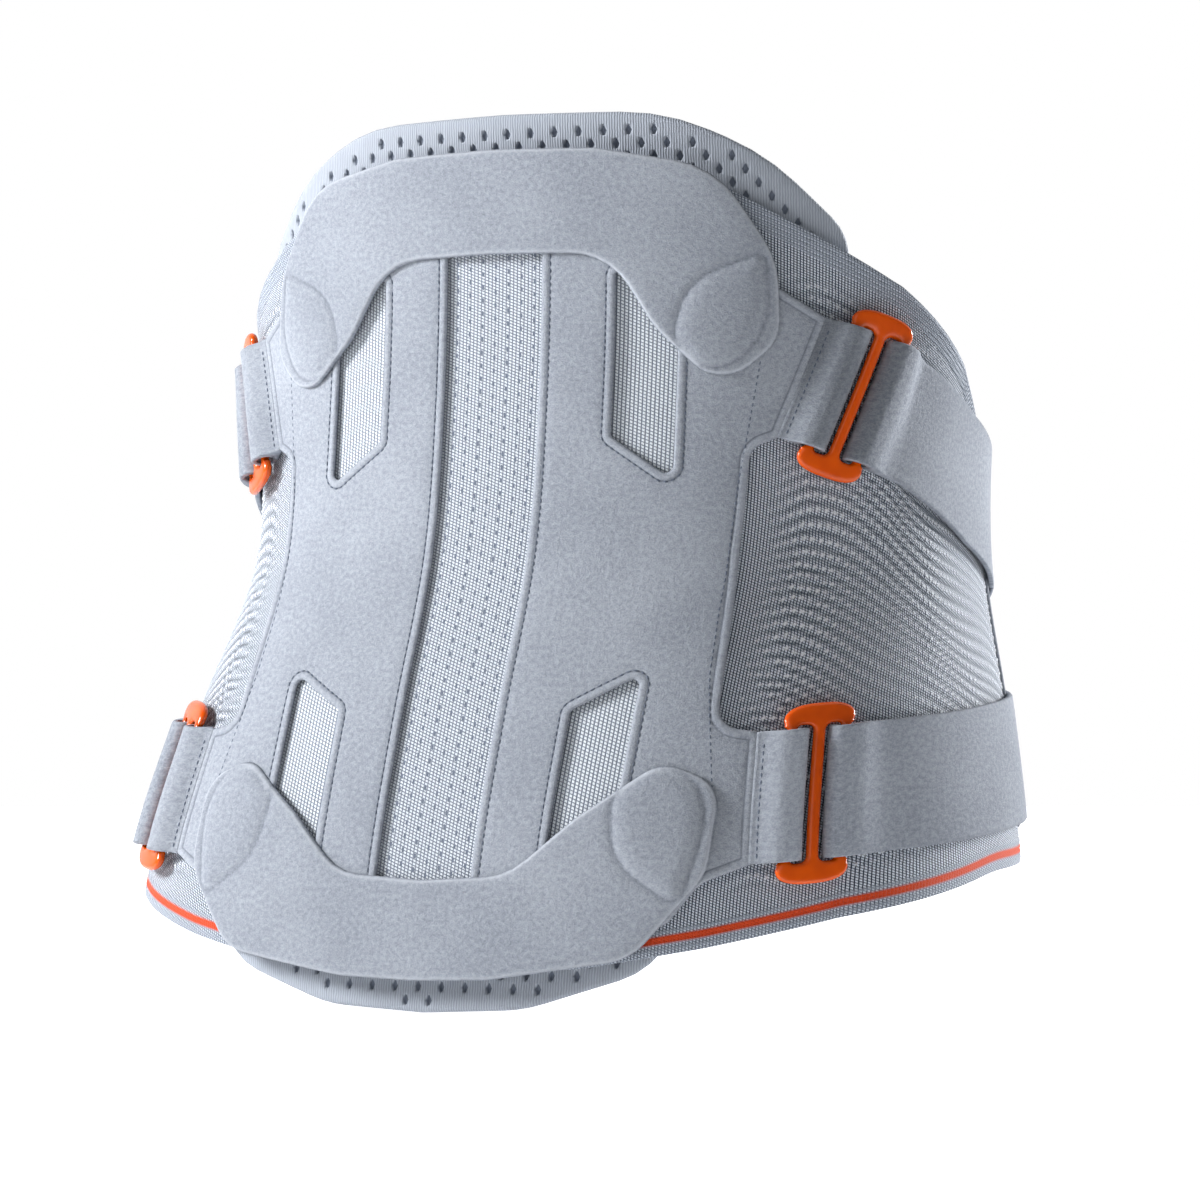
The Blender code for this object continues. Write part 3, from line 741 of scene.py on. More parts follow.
@dataclass(frozen=True)
class RolledSteel(Finish):
    """Cold-rolled spring steel strip, with fine lines along its length."""

    def dress(self, tree: bpy.types.NodeTree, shader: bpy.types.Node) -> None:
        """Draw the rolling lines along the strip in roughness and tone."""
        place = add_node(tree, "TexCoord")
        stretch = add_node(
            tree, "Mapping", values={"Scale": (1 / (0.3 * MM), 1 / (40 * MM), 1.0)},
            links={"Vector": place.outputs["UV"]},
        )
        lines = add_node(
            tree, "TexNoise", values={"Scale": 1.0, "Detail": 3.0},
            links={"Vector": stretch.outputs["Vector"]},
        )
        self.roughen(shader, lines.outputs["Fac"], 0.22, 0.42)
        self.lay(shader, self.tone(tree, lines.outputs["Fac"]), {"Metallic": 1.0})


@dataclass(frozen=True)
class CellFoam(Finish):
    """Closed-cell foam with a sliced, finely pored skin."""

    def dress(self, tree: bpy.types.NodeTree, shader: bpy.types.Node) -> None:
        """Pit the skin with cells about half a millimetre wide."""
        place = add_node(tree, "TexCoord")
        cells = add_node(
            tree, "TexVoronoi", values={"Scale": 1 / (0.8 * MM)},
            links={"Vector": place.outputs["UV"]},
        )
        depth = cells.outputs["Distance"]
        self.lay(shader, self.tone(tree, depth), {"Roughness": 0.9}, depth, 0.5, 0.3)


@dataclass(frozen=True)
class HookTape(Finish):
    """Moulded micro-hook tape: rows of tiny stems on a flat backing."""

    pitch_mm: float = 1.3

    def dress(self, tree: bpy.types.NodeTree, shader: bpy.types.Node) -> None:
        """Dot the tape with its stems, light on dark."""
        place = add_node(tree, "TexCoord")
        stems = add_node(
            tree, "TexVoronoi", values={"Scale": 1 / (self.pitch_mm * MM), "Randomness": 0.15},
            links={"Vector": place.outputs["UV"]},
        )
        tip = add_node(
            tree, "MapRange", {"interpolation_type": "SMOOTHSTEP"},
            {"From Min": 0.4, "From Max": 0.1}, {"Value": stems.outputs["Distance"]},
        )
        height = tip.outputs["Result"]
        self.lay(shader, self.tone(tree, height), {"Roughness": 0.55}, height, 0.8, 0.6)


class Finishes:
    """The belt's finishes, by the piece that wears them."""

    panel = Velour("velour_brushed_panel", "velour", "#A6ACB6", "#828893")
    # The yokes' velour is the panel's made a little darker: painted shade.
    yoke = Velour("velour_brushed_yoke", "velour", "#A3A9B3", "#7F8590")
    strap = Velour("velour_brushed_strap", "strap_velour", "#A1A7B1", "#7A808B", pile_mm=0.6)
    body = Knit("flat_knit_body", "knit", "#E2EAF6", "#364152", column_gap=0.8, course_gap=0.65)
    lining = Knit(
        "flat_knit_lining", "panel_knit", "#E2E8F1", "#6E7787",
        column_mm=1.45, course_mm=1.15, column_gap=0.6, course_gap=0.75, slit_mm=(5.2, 4.9),
    )
    window = Knit(
        "flat_knit_windows", "panel_knit", "#EAF0F8", "#78818F",
        column_mm=1.5, course_mm=1.25, column_gap=0.85, course_gap=0.6,
    )
    spacer = SpacerMesh("spacer_mesh_warp_knitted", "spacer_mesh", "#AFB6C1", "#939AA6")
    plastic = MouldedPlastic("polyamide_moulded_orange", "orange_plastic", "#F06000", "#CC4600")
    steel = RolledSteel("spring_steel_rolled", "spring_steel", "#B5B8BC", "#8B8F95")
    foam = CellFoam("foam_closed_cell_sliced", "pad_foam", "#5C626E", "#3E434C")
    hook = HookTape("hook_tape_moulded", "hook_tape", "#6C7380", "#343941")
    thread = Velour("polyester_thread_spun", "velour", "#6E7787", "#565E6C", pile_mm=0.3, sheen=0.1)


# --- Cutting and wrapping cloth ---
class FlatCloth:
    """A piece of cloth while it still lies flat, its vertices at (u, z, d)."""

    def __init__(self, loops: Sequence[Outline]) -> None:
        """Cut the cloth: the first loop is its outline, the others are holes in it."""
        self.loops = list(loops)
        self.mesh = bmesh.new()
        edges = []
        for loop in self.loops:
            ends = [self.mesh.verts.new((u, z, 0.0)) for u, z in loop]
            edges += [self.mesh.edges.new((a, b)) for a, b in zip(ends, ends[1:] + ends[:1])]
        if len(self.loops) == 1:
            self.mesh.faces.new(ends)
        else:
            bmesh.ops.triangle_fill(self.mesh, use_beauty=True, use_dissolve=False, edges=edges)
        self._face_up()

    def _face_up(self) -> None:
        """Turn every face to look away from the body."""
        self.mesh.normal_update()
        down = [face for face in self.mesh.faces if face.normal.z < 0]
        if down:
            bmesh.ops.reverse_faces(self.mesh, faces=down)

    def hem(self, widths: Sequence[float]) -> "FlatCloth":
        """Add rings of faces along every edge, each as wide as its number."""
        rings: set[bmesh.types.BMFace] = set()
        for width in widths:
            inner = [face for face in self.mesh.faces if face not in rings]
            ring = bmesh.ops.inset_region(
                self.mesh, faces=inner, thickness=width, use_boundary=True, use_even_offset=True
            )
            rings.update(ring["faces"])
        return self

    def cut_along(self, step_u: float, step_z: float, offset: float = 0.0) -> None:
        """Cut the cloth at each whole value of u * step_u + z * step_z + offset."""
        values = [vert.co.x * step_u + vert.co.y * step_z + offset for vert in self.mesh.verts]
        normal = Vector((step_u, step_z, 0.0))
        for k in range(math.ceil(min(values)), math.floor(max(values)) + 1):
            bmesh.ops.bisect_plane(
                self.mesh,
                geom=self.mesh.verts[:] + self.mesh.edges[:] + self.mesh.faces[:],
                dist=1e-4,
                plane_co=normal * (k - offset) / normal.length_squared,
                plane_no=normal.normalized(),
            )

    def grid(self, across: float, up: float) -> "FlatCloth":
        """Cut the cloth into cells of this size, so that it can bend."""
        self.cut_along(1 / across, 0.0)
        self.cut_along(0.0, 1 / up)
        return self

    def flat_points(self) -> np.ndarray:
        """Return the vertices' flat coordinates."""
        return np.array([vert.co for vert in self.mesh.verts], float).reshape(-1, 3)

    def thicken(self, layer: tuple[float, float], relief: Relief) -> None:
        """Give the cloth its thickness, with its outer face raised by the relief.

        Args:
            layer: offsets of the inner and the outer face.
            relief: height over the outer face from u, z and the distance to the edge.
        """
        points, upper = self.flat_points(), self.mesh.verts[:]
        distance = edge_distance(points[:, :2], self.loops)
        top = layer[1] + relief(points[:, 0], points[:, 1], distance)
        grown = bmesh.ops.extrude_face_region(self.mesh, geom=self.mesh.faces[:], use_keep_orig=True)
        lower = [item for item in grown["geom"] if isinstance(item, bmesh.types.BMVert)]
        for vert, height in zip(upper, top):
            vert.co.z = float(height)
        for vert in lower:
            vert.co.z = layer[0]
        bmesh.ops.recalc_face_normals(self.mesh, faces=self.mesh.faces[:])


def flat_uv(mesh: bmesh.types.BMesh) -> None:
    """Give the mesh UVs in metres of flat cloth, so that a weave keeps its real size."""
    layer = mesh.loops.layers.uv.new("cloth")
    for face in mesh.faces:
        for loop in face.loops:
            loop[layer].uv = (loop.vert.co.x * MM, loop.vert.co.y * MM)


def wrap_piece(
    mesh: bmesh.types.BMesh,
    name: str,
    finish: Finish,
    nodes: Sequence[str],
    attributes: Optional[dict[str, np.ndarray]] = None,
    sharp_at: Optional[float] = None,
) -> bpy.types.Object:
    """Wrap a flat mesh on the torso and make it a named, dressed piece.

    Args:
        mesh: vertices at (u, z, d) in millimetres; it is freed.
        name: the piece's name.
        finish: what the piece is made of.
        nodes: the CAD nodes that the piece stands for.
        attributes: values per vertex that the finish reads.
        sharp_at: the u of a cut where the next piece goes on, whose shading must run through.

    Returns:
        The new object, at the origin, with its place in its mesh.
    """
    flat_uv(mesh)
    if sharp_at is not None:
        for edge in mesh.edges:
            edge.smooth = any(abs(vert.co.x - sharp_at) > 1e-3 for vert in edge.verts)
    points = np.array([vert.co for vert in mesh.verts], float).reshape(-1, 3)
    for vert, place in zip(mesh.verts, TORSO.wrap(points)):
        vert.co = place
    data = bpy.data.meshes.new(name)
    mesh.to_mesh(data)
    mesh.free()
    data.shade_smooth()
    for key, values in (attributes or {}).items():
        stored = data.attributes.new(key, "FLOAT", "POINT")
        stored.data.foreach_set("value", np.asarray(values, np.float32))
    data.materials.append(finish.material())
    piece = bpy.data.objects.new(name, data)
    bpy.context.scene.collection.objects.link(piece)
    if nodes:
        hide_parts(*nodes)
    return piece


def declare_sheet(
    outline: Outline, holes: Sequence[Outline] = ()
) -> None:
    """Work out the width, length and area of cloth cut from this outline; they are not used.

    Args:
        outline: the flat cut, in millimetres.
        holes: openings cut in it.
    """
    points = np.array(outline)
    width, length = (points.max(axis=0) - points.min(axis=0)) * MM
    area = (outline_area(outline) - sum(outline_area(hole) for hole in holes)) * MM * MM
    area = min(area, width * length)


def stitch_row(path: Sequence[Sequence[float]], pitch: float, d: float) -> bmesh.types.BMesh:
    """Lay short stitches along a flat path.

    Args:
        path: (u, z) corners of the seam line.
        pitch: from one stitch to the next.
        d: the stitches' offset from the body.

    Returns:
        A flat mesh with one small rounded stitch after another.
    """
    mesh = bmesh.new()
    points = np.array(path, float)
    runs = np.concatenate([[0.0], np.cumsum(np.hypot(*np.diff(points, axis=0).T))])
    for k in range(int(runs[-1] / pitch)):
        middle = (k + 0.5) * pitch
        u, z = (np.interp(middle, runs, points[:, i]) for i in (0, 1))
        ahead = [np.interp(middle + 0.5, runs, points[:, i]) for i in (0, 1)]
        angle = math.atan2(ahead[1] - z, ahead[0] - u)
        turn = Matrix.Translation((u, z, d)) @ Matrix.Rotation(angle, 4, "Z")
        scale = Matrix.Diagonal((pitch * 0.36, 0.34, 0.3, 1.0))
        bmesh.ops.create_uvsphere(mesh, u_segments=6, v_segments=4, radius=1.0, matrix=turn @ scale)
    return mesh


BORDER_RINGS = (0.4, 0.6, 1.0, 0.7, 0.6, 0.6)
SOFT_EDGE_RINGS = (0.35, 0.5, 0.9)


def bordered(width: float = 2.7, rise: float = 0.2, groove: float = 0.3) -> Relief:
    """Return the relief of a welded border: a soft edge, a raised band and a groove.

    Args:
        width: the band's width.
        rise: how far the band stands over the cloth.
        groove: how deep the groove beside it is.

    Returns:
        The relief.
    """
    stations = np.array([0.0, 0.4, 1.0, width - 0.7, width, width + 0.6, width + 1.2, width + 3.0])
    heights = np.array([-0.7, -0.1, rise, rise, rise * 0.4, -groove, -groove * 0.4, 0.0])

    def relief(u: np.ndarray, z: np.ndarray, distance: np.ndarray) -> np.ndarray:
        """Return the height at each point from its distance to the edge."""
        return np.interp(distance, stations, heights)

    return relief


def border_crease(distance: np.ndarray, width: float = 2.7) -> np.ndarray:
    """Return the painted shading of a welded border at each distance from the edge: painted shade at the cut
    edge and in the groove, painted highlight on the raised band.
    """
    stations = [0.0, 0.4, 1.0, width - 0.7, width, width + 0.6, width + 1.2]
    return np.interp(distance, stations, [0.35, -0.15, -0.3, -0.3, 0.15, 0.7, 0.0])


def flat_distance(mesh: bmesh.types.BMesh, loops: Sequence[Outline]) -> np.ndarray:
    """Return how far each vertex of a flat mesh lies from the cloth's edges."""
    return edge_distance(np.array([vert.co[:2] for vert in mesh.verts], float), loops)


def cut_piece(
    name: str, finish: Finish, nodes: Sequence[str], loops: Sequence[Outline], rings: Sequence[float],
    cell: tuple[float, float], layer: tuple[float, float], relief: Relief, creased: bool = False,
) -> bpy.types.Object:
    """Cut a cloth flat, give it its thickness and relief, and wrap it on the torso.

    Args:
        name: the piece's name.
        finish: what the piece is made of.
        nodes: the CAD nodes that the piece stands for.
        loops: the cloth's outline, then its holes.
        rings: widths of the rings of faces along every edge.
        cell: the grid's cell, across and up.
        layer: offsets of the inner and the outer face.
        relief: the outer face's relief.
        creased: whether the finish paints shade into the welded border's edge and groove and a highlight on
            its raised band.

    Returns:
        The new object.
    """
    cloth = FlatCloth(loops).hem(rings).grid(*cell)
    cloth.thicken(layer, relief)
    # Painted shade at the border's edge and in its groove, painted highlight on its raised band.
    marks = {"crease": border_crease(flat_distance(cloth.mesh, loops))} if creased else None
    return wrap_piece(cloth.mesh, name, finish, nodes, marks)


def sew(name: str, path: Sequence[Sequence[float]], pitch: float, d: float) -> None:
    """Sew a row of stitches along a flat path on the back."""
    seam = wrap_piece(stitch_row(path, pitch, d), name, Finishes.thread, [])
    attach(seam, "back")


def offset_outline(outline: Outline, amount: float) -> Outline:
    """Return an outline grown by this much on every side."""
    points = np.array(outline)
    along = np.roll(points, -1, axis=0) - np.roll(points, 1, axis=0)
    along /= np.maximum(np.linalg.norm(along, axis=1, keepdims=True), 1e-9)
    out = np.column_stack([along[:, 1], -along[:, 0]])
    middle = points.mean(axis=0)
    sign = 1.0 if float(np.sum(out * (points - middle))) > 0 else -1.0
    return [tuple(p) for p in points + sign * amount * out]


def soft_edge(drop: float) -> Relief:
    """Return the relief of a plain cut edge that rounds off by drop."""
    stations, heights = np.array([0.0, 0.35, 0.85, 1.75]), np.array([-drop, -0.3 * drop, -0.05, 0.0])
    return lambda u, z, distance: np.interp(distance, stations, heights)


# --- The knitted body ---
@dataclass
class KnittedBody:
    """The elastic knit from front edge to front edge, in three stretches that meet edge to edge."""

    split_u: float = 88.0
    cell: float = 1.2
    stripe_width: float = 2.8
    stripe_height: float = 5.6
    hem_end: float = 10.6
    rib_pitch: float = 2.1
    wave_pitch: float = 4.6
    wave_height: float = 0.95

    def hems(self, u: np.ndarray) -> tuple[np.ndarray, np.ndarray]:
        """Return the heights of the lower and the upper hem at each distance u."""
        top, bottom = np.array(Patterns.knit_top()), np.array(Patterns.knit_bottom())
        far = np.abs(u)
        return np.interp(far, bottom[:, 0], bottom[:, 1]), np.interp(far, top[:, 0], top[:, 1])

    def rows(self, height: float) -> np.ndarray:
        """Return the rows' places up the cloth: close at both hems, even between."""
        close = np.concatenate([[0.0, 0.25], np.arange(0.6, self.hem_end + 0.1, 0.5)])
        close[-1] = self.hem_end
        count = round((height - 2 * self.hem_end) / self.cell)
        middle = np.linspace(self.hem_end, height - self.hem_end, count + 1)[1:-1]
        return np.concatenate([close, middle, height - close[::-1]])

    def waves(self, u: np.ndarray, z: np.ndarray, rim: np.ndarray) -> np.ndarray:
        """Return the raised rows, from -1 to 1: level at the panel, arched beside it, then falling."""
        over = np.abs(u) - Patterns.band_half
        fan = 8.0 * np.exp(-(((over - 30.0) / 24.0) ** 2)) - 0.34 * np.maximum(over - 22.0, 0.0)
        drift = 1.6 * np.sin(over / 11.0 + z / 23.0) + 0.8 * np.sin(z / 7.0 + over / 17.0)
        phase = (z - fan + drift) * 2 * math.pi / self.wave_pitch
        beads = 0.5 + 0.5 * np.cos(over * 2 * math.pi / 3.2 + np.round(phase / (2 * math.pi)) * 2.1)
        inside = np.clip((rim - 12.0) / 9.0, 0.0, 1.0)
        patches = 0.55 + 0.45 * np.sin(over / 19.0 + 1.2) * np.cos(z / 31.0 + over / 40.0 + 0.4)
        strength = inside * np.clip((over - 4.0) / 18.0, 0.12, 1.0) * np.clip(patches + 0.25, 0.2, 1.0)
        crest = np.cos(phase)
        return strength * np.where(crest > 0, crest * beads, crest * 0.6)

    def lift(self, u: np.ndarray, z: np.ndarray, rim: np.ndarray) -> np.ndarray:
        """Return the outer face's height over its layer: raised rows, and ribs along the hems."""
        hem = np.interp(rim, [0.0, 0.25, 1.1, 8.6, self.hem_end], [-0.8, -0.1, 0.3, 0.25, 0.0])
        ribs = 0.16 * np.cos(rim * 2 * math.pi / self.rib_pitch) * (rim < self.hem_end)
        return self.wave_height * self.waves(u, z, rim) + hem + ribs

    def build_stretch(self, name: str, start: float, end: float, nodes: Sequence[str]) -> bpy.types.Object:
        """Build the knit between two distances u, hems and stripe included."""
        columns = round((end - start) / self.cell)
        low, high = self.hems(np.linspace(start, end, columns + 1))
        rows = self.rows(float(np.mean(high - low)))
        mesh = bmesh.new()
        bmesh.ops.create_grid(mesh, x_segments=columns, y_segments=len(rows) - 1, size=0.5)
        grid = np.array([vert.co for vert in mesh.verts], float)
        u = start + (grid[:, 0] + 0.5) * (end - start)
        low, high = self.hems(u)
        step = np.round((grid[:, 1] + 0.5) * (len(rows) - 1)).astype(int)
        from_low, from_high = rows[step], rows[-1] - rows[step]
        share = (from_low - self.hem_end) / (rows[-1] - 2 * self.hem_end)
        between = low + self.hem_end + share * (high - low - 2 * self.hem_end)
        z = np.where(
            from_low <= self.hem_end, low + from_low,
            np.where(from_high <= self.hem_end, high - from_high, between),
        )
        rim = np.minimum(z - low, high - z)
        outer = LAYERS.knit[1] + self.lift(u, z, rim)
        for vert, x, y, d in zip(mesh.verts, u, z, outer):
            vert.co = (x, y, d)
        grown = bmesh.ops.extrude_face_region(mesh, geom=mesh.faces[:], use_keep_orig=True)
        for item in grown["geom"]:
            if isinstance(item, bmesh.types.BMVert):
                item.co.z = LAYERS.knit[0]
        bmesh.ops.recalc_face_normals(mesh, faces=mesh.faces[:])
        flat = np.array([vert.co for vert in mesh.verts], float)
        low, high = self.hems(flat[:, 0])
        rim = np.minimum(flat[:, 1] - low, high - flat[:, 1])
        ribs = 0.5 + 0.5 * np.cos(rim * 2 * math.pi / self.rib_pitch)
        hem = np.clip((self.hem_end - 1.0 - rim) / 1.0, 0.0, 1.0) * (0.25 + 0.45 * ribs)
        off_line = np.abs(flat[:, 1] - low - self.stripe_height)
        stripe = 1.0 - np.clip((off_line - self.stripe_width / 2 + 0.25) / 0.5, 0.0, 1.0)
        # The row mark drives the knit's painted shade in the valleys and painted highlight on the crests.
        marks = {"hem": hem, "stripe": stripe, "row": self.waves(flat[:, 0], flat[:, 1], rim)}
        cut = self.split_u if start > 0 else -self.split_u if end < 0 else None
        piece = wrap_piece(mesh, name, Finishes.body, nodes, marks, sharp_at=cut)
        declare_sheet(self.outline(start, end))
        return piece

    def outline(self, start: float, end: float) -> Outline:
        """Return the flat cut of one stretch."""
        u = np.linspace(start, end, 80)
        low, high = self.hems(u)
        return list(zip(u, low)) + list(zip(u[::-1], high[::-1]))

    def build(self) -> None:
        """Build the centre stretch and the two side stretches."""
        centre = self.build_stretch("knit_centre", -self.split_u, self.split_u, ["knit_back"])
        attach(centre, "back")
        for side in Side:
            ends = sorted([self.split_u * side.value, Patterns.front_edge * side.value])
            piece = self.build_stretch(f"knit_{side.word}", *ends, [f"knit_front_{side.word}"])
            blend_at_side(piece)


def blend_at_side(piece: bpy.types.Object) -> None:
    """Bake a piece's place into its mesh; it is not bent at the side seam."""
    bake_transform(piece)


# --- The skin side ---
@dataclass
class SkinPad:
    """The spacer mesh pad on the skin side and the foam core behind it."""

    hole_pitch: float = 9.5
    hole_row: float = 5.0
    hole_half_width: float = 1.4
    hole_half_height: float = 2.05
    pit_depth: float = 1.15

    def mesh_face(self, keep: Callable[[float, float], bool]) -> tuple[FlatCloth, set[int]]:
        """Cut one face of the mesh into cells and sink a drop-shaped hole in every other one.

        Args:
            keep: says whether a hole is made at a flat place.

        Returns:
            The flat cloth, and the indices of the vertices down in the holes.
        """
        cloth = FlatCloth([Patterns.pad()]).hem((0.6, 0.9)).grid(self.hole_pitch / 2, self.hole_row)
        mesh = cloth.mesh
        whole = self.hole_pitch / 2 * self.hole_row
        full = []
        for face in mesh.faces:
            centre = face.calc_center_median()
            column = math.floor(centre.x / self.hole_pitch * 2)
            row = math.floor(centre.y / self.hole_row)
            odd = (column + row) % 2 == 1
            if odd and len(face.verts) == 4 and face.calc_area() > whole * 0.98 and keep(centre.x, centre.y):
                full.append(face)
        around = {edge for face in full for edge in face.edges}
        bmesh.ops.subdivide_edges(mesh, edges=list(around), cuts=1)
        full = [face for face in mesh.faces if face in set(full)]
        centres = {face: face.calc_center_bounds().copy() for face in full}
        deep: set[int] = set()
        for scale, depth in ((1.16, 0.0), (0.98, 0.3), (0.8, self.pit_depth)):
            bmesh.ops.inset_individual(mesh, faces=full, thickness=0.2, use_even_offset=True)
            for face in full:
                self.shape_ring(face, centres[face], scale, depth)
        mesh.verts.index_update()
        for face in full:
            deep.update(vert.index for vert in face.verts)
        return cloth, deep

    def shape_ring(self, face: bmesh.types.BMFace, centre: Vector, scale: float, depth: float) -> None:
        """Move a ring of vertices to the drop's outline at one depth."""
        for vert in face.verts:
            away = vert.co.xy - centre.xy
            angle = math.atan2(away.y, away.x)
            narrow = 1.0 - 0.3 * max(math.sin(angle), 0.0)
            vert.co.x = centre.x + self.hole_half_width * scale * narrow * math.cos(angle)
            vert.co.y = centre.y + self.hole_half_height * scale * math.sin(angle)
            vert.co.z = -depth

    def build_mesh_pad(self) -> None:
        """Build the pad: holed on the skin side, and outside where the knit doesn't cover it."""
        top, bottom = np.array(Patterns.knit_top()), np.array(Patterns.knit_bottom())

        def outside(u: float, z: float) -> bool:
            """Say whether the pad shows past the knit here."""
            over = z > np.interp(abs(u), top[:, 0], top[:, 1]) - 3.0
            return bool(over or z < np.interp(abs(u), bottom[:, 0], bottom[:, 1]) + 3.0)

        body = bmesh.new()
        holes: list[int] = []
        loops = [Patterns.pad()]
        for skin, keep in ((True, lambda u, z: True), (False, outside)):
            cloth, deep = self.mesh_face(keep)
            points = cloth.flat_points()
            rim = edge_distance(points[:, :2], loops)
            soft = np.interp(rim, [0.0, 0.6, 1.5], [1.15, 0.35, 0.0])
            level = -points[:, 2] + soft
            for vert, depth in zip(cloth.mesh.verts, level):
                vert.co.z = float(depth if skin else LAYERS.pad[1] - depth)
            if skin:
                bmesh.ops.reverse_faces(cloth.mesh, faces=cloth.mesh.faces[:])
            offset = len(body.verts)
            holes += [offset + index for index in deep]
            face_mesh = bpy.data.meshes.new("pad_face")
            cloth.mesh.to_mesh(face_mesh)
            cloth.mesh.free()
            body.from_mesh(face_mesh)
            bpy.data.meshes.remove(face_mesh)
        # Marks the vertices down in the holes, which the spacer mesh fills with painted shade.
        hole = np.zeros(len(body.verts))
        hole[holes] = 1.0
        rims = [edge for edge in body.edges if edge.is_boundary]
        bmesh.ops.bridge_loops(body, edges=rims)
        pad = wrap_piece(body, "spacer_mesh_pad", Finishes.spacer, ["mesh_pad"], {"hole": hole})
        declare_sheet(Patterns.pad())
        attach(pad, "back")

    def build_core(self) -> None:
        """Build the foam core, crowned in the middle and thinned towards its edge."""

        def crown(u: np.ndarray, z: np.ndarray, distance: np.ndarray) -> np.ndarray:
            """Thin the foam towards its edge."""
            return np.interp(distance, [0.0, 0.6, 1.8, 3.8], [-1.4, -0.9, -0.4, 0.0])

        core = cut_piece(
            "foam_core", Finishes.foam, ["lumbar_pad"], [Patterns.core()], (0.6, 1.2, 2.0), (8.0, 8.0),
            LAYERS.core, crown,
        )
        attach(core, "back")

    def build(self) -> None:
        """Build the pad and its core."""
        self.build_mesh_pad()
        self.build_core()


# --- The back panel ---
@dataclass
class BackPanel:
    """The panel's knit lining, its stays and its two velour halves."""

    stay_width: float = 12.0
    stays: tuple[tuple[str, float, float, float], ...] = (
        ("inner", 33.0, -122.0, 122.0),
        ("outer", 82.0, -105.0, 103.0),
    )
    stitch_pitch: float = 2.6
    seam_inset: float = 3.4
    strip_knit_half: float = 36.0

    def build_lining(self) -> None:
        """Build the knit that shows in the centre strip and the windows."""
        right = Patterns.panel(0.0)
        outline = without_doubles(right[:-1] + flipped(right, Side.LEFT)[1:])
        lining = cut_piece(
            "panel_lining_knit", Finishes.lining, ["panel_lining"], [outline], (0.4, 0.8), (4.0, 6.0),
            LAYERS.lining, soft_edge(0.5),
        )
        lining.data.materials.append(Finishes.window.material())
        places = lining.data.uv_layers.active.data
        for face in lining.data.polygons:
            if min(abs(places[loop].uv.x) for loop in face.loop_indices) > self.strip_knit_half * MM:
                face.material_index = 1
        declare_sheet(outline)
        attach(lining, "back")

    def build_cover(self, side: Side) -> None:
        """Build one velour half, with a welded border round its edge and its windows."""
        outline = Patterns.panel(Patterns.strip_half)
        loops = [flipped(loop, side) for loop in (outline, *Patterns.windows())]
        name = f"panel_cover_{side.word}"
        cover = cut_piece(
            f"{name}_velour", Finishes.panel, [name], loops, BORDER_RINGS, (3.2, 4.4),
            LAYERS.cover, bordered(), creased=True,
        )
        declare_sheet(loops[0], holes=loops[1:])
        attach(cover, "back")

    def build_seams(self, side: Side) -> None:
        """Stitch the arm seam, the strip's edge and the windows' borders."""
        strip = Patterns.strip_half + self.seam_inset
        paths = [
            ("arm_seam", [
                (97.5, 71), (94, 45), (91.4, 25), (90.5, 8), (90.5, -22), (92, -45), (96, -66), (101, -90),
            ]),
            ("strip_seam", [(strip, Patterns.panel_top), (strip, Patterns.panel_bottom)]),
        ]
        for word, window in zip(("upper", "lower"), Patterns.windows()):
            grown = offset_outline(window, self.seam_inset)
            paths.append((f"{word}_window_seam", grown + grown[:1]))
        for word, path in paths:
            path = [(u * side.value, z) for u, z in path]
            sew(f"{word}_{side.word}", path, self.stitch_pitch, LAYERS.cover[1] - 0.12)

    def build_stays(self, side: Side) -> None:
        """Build the spring steel stays of one side."""
        for word, u, low, high in self.stays:
            half = self.stay_width / 2
            outline = Patterns.plate(u - half, u + half, low, high, half - 0.5)
            name = f"back_stay_{word}_{side.word}"
            stay = cut_piece(
                f"{name}_steel", Finishes.steel, [name], [flipped(outline, side)], (0.3,), (6.0, 8.0),
                LAYERS.stay, soft_edge(0.15),
            )
            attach(stay, "back")

    def build(self) -> None:
        """Build the lining, then both halves."""
        self.build_lining()
        for side in Side:
            self.build_stays(side)
            self.build_cover(side)
            self.build_seams(side)


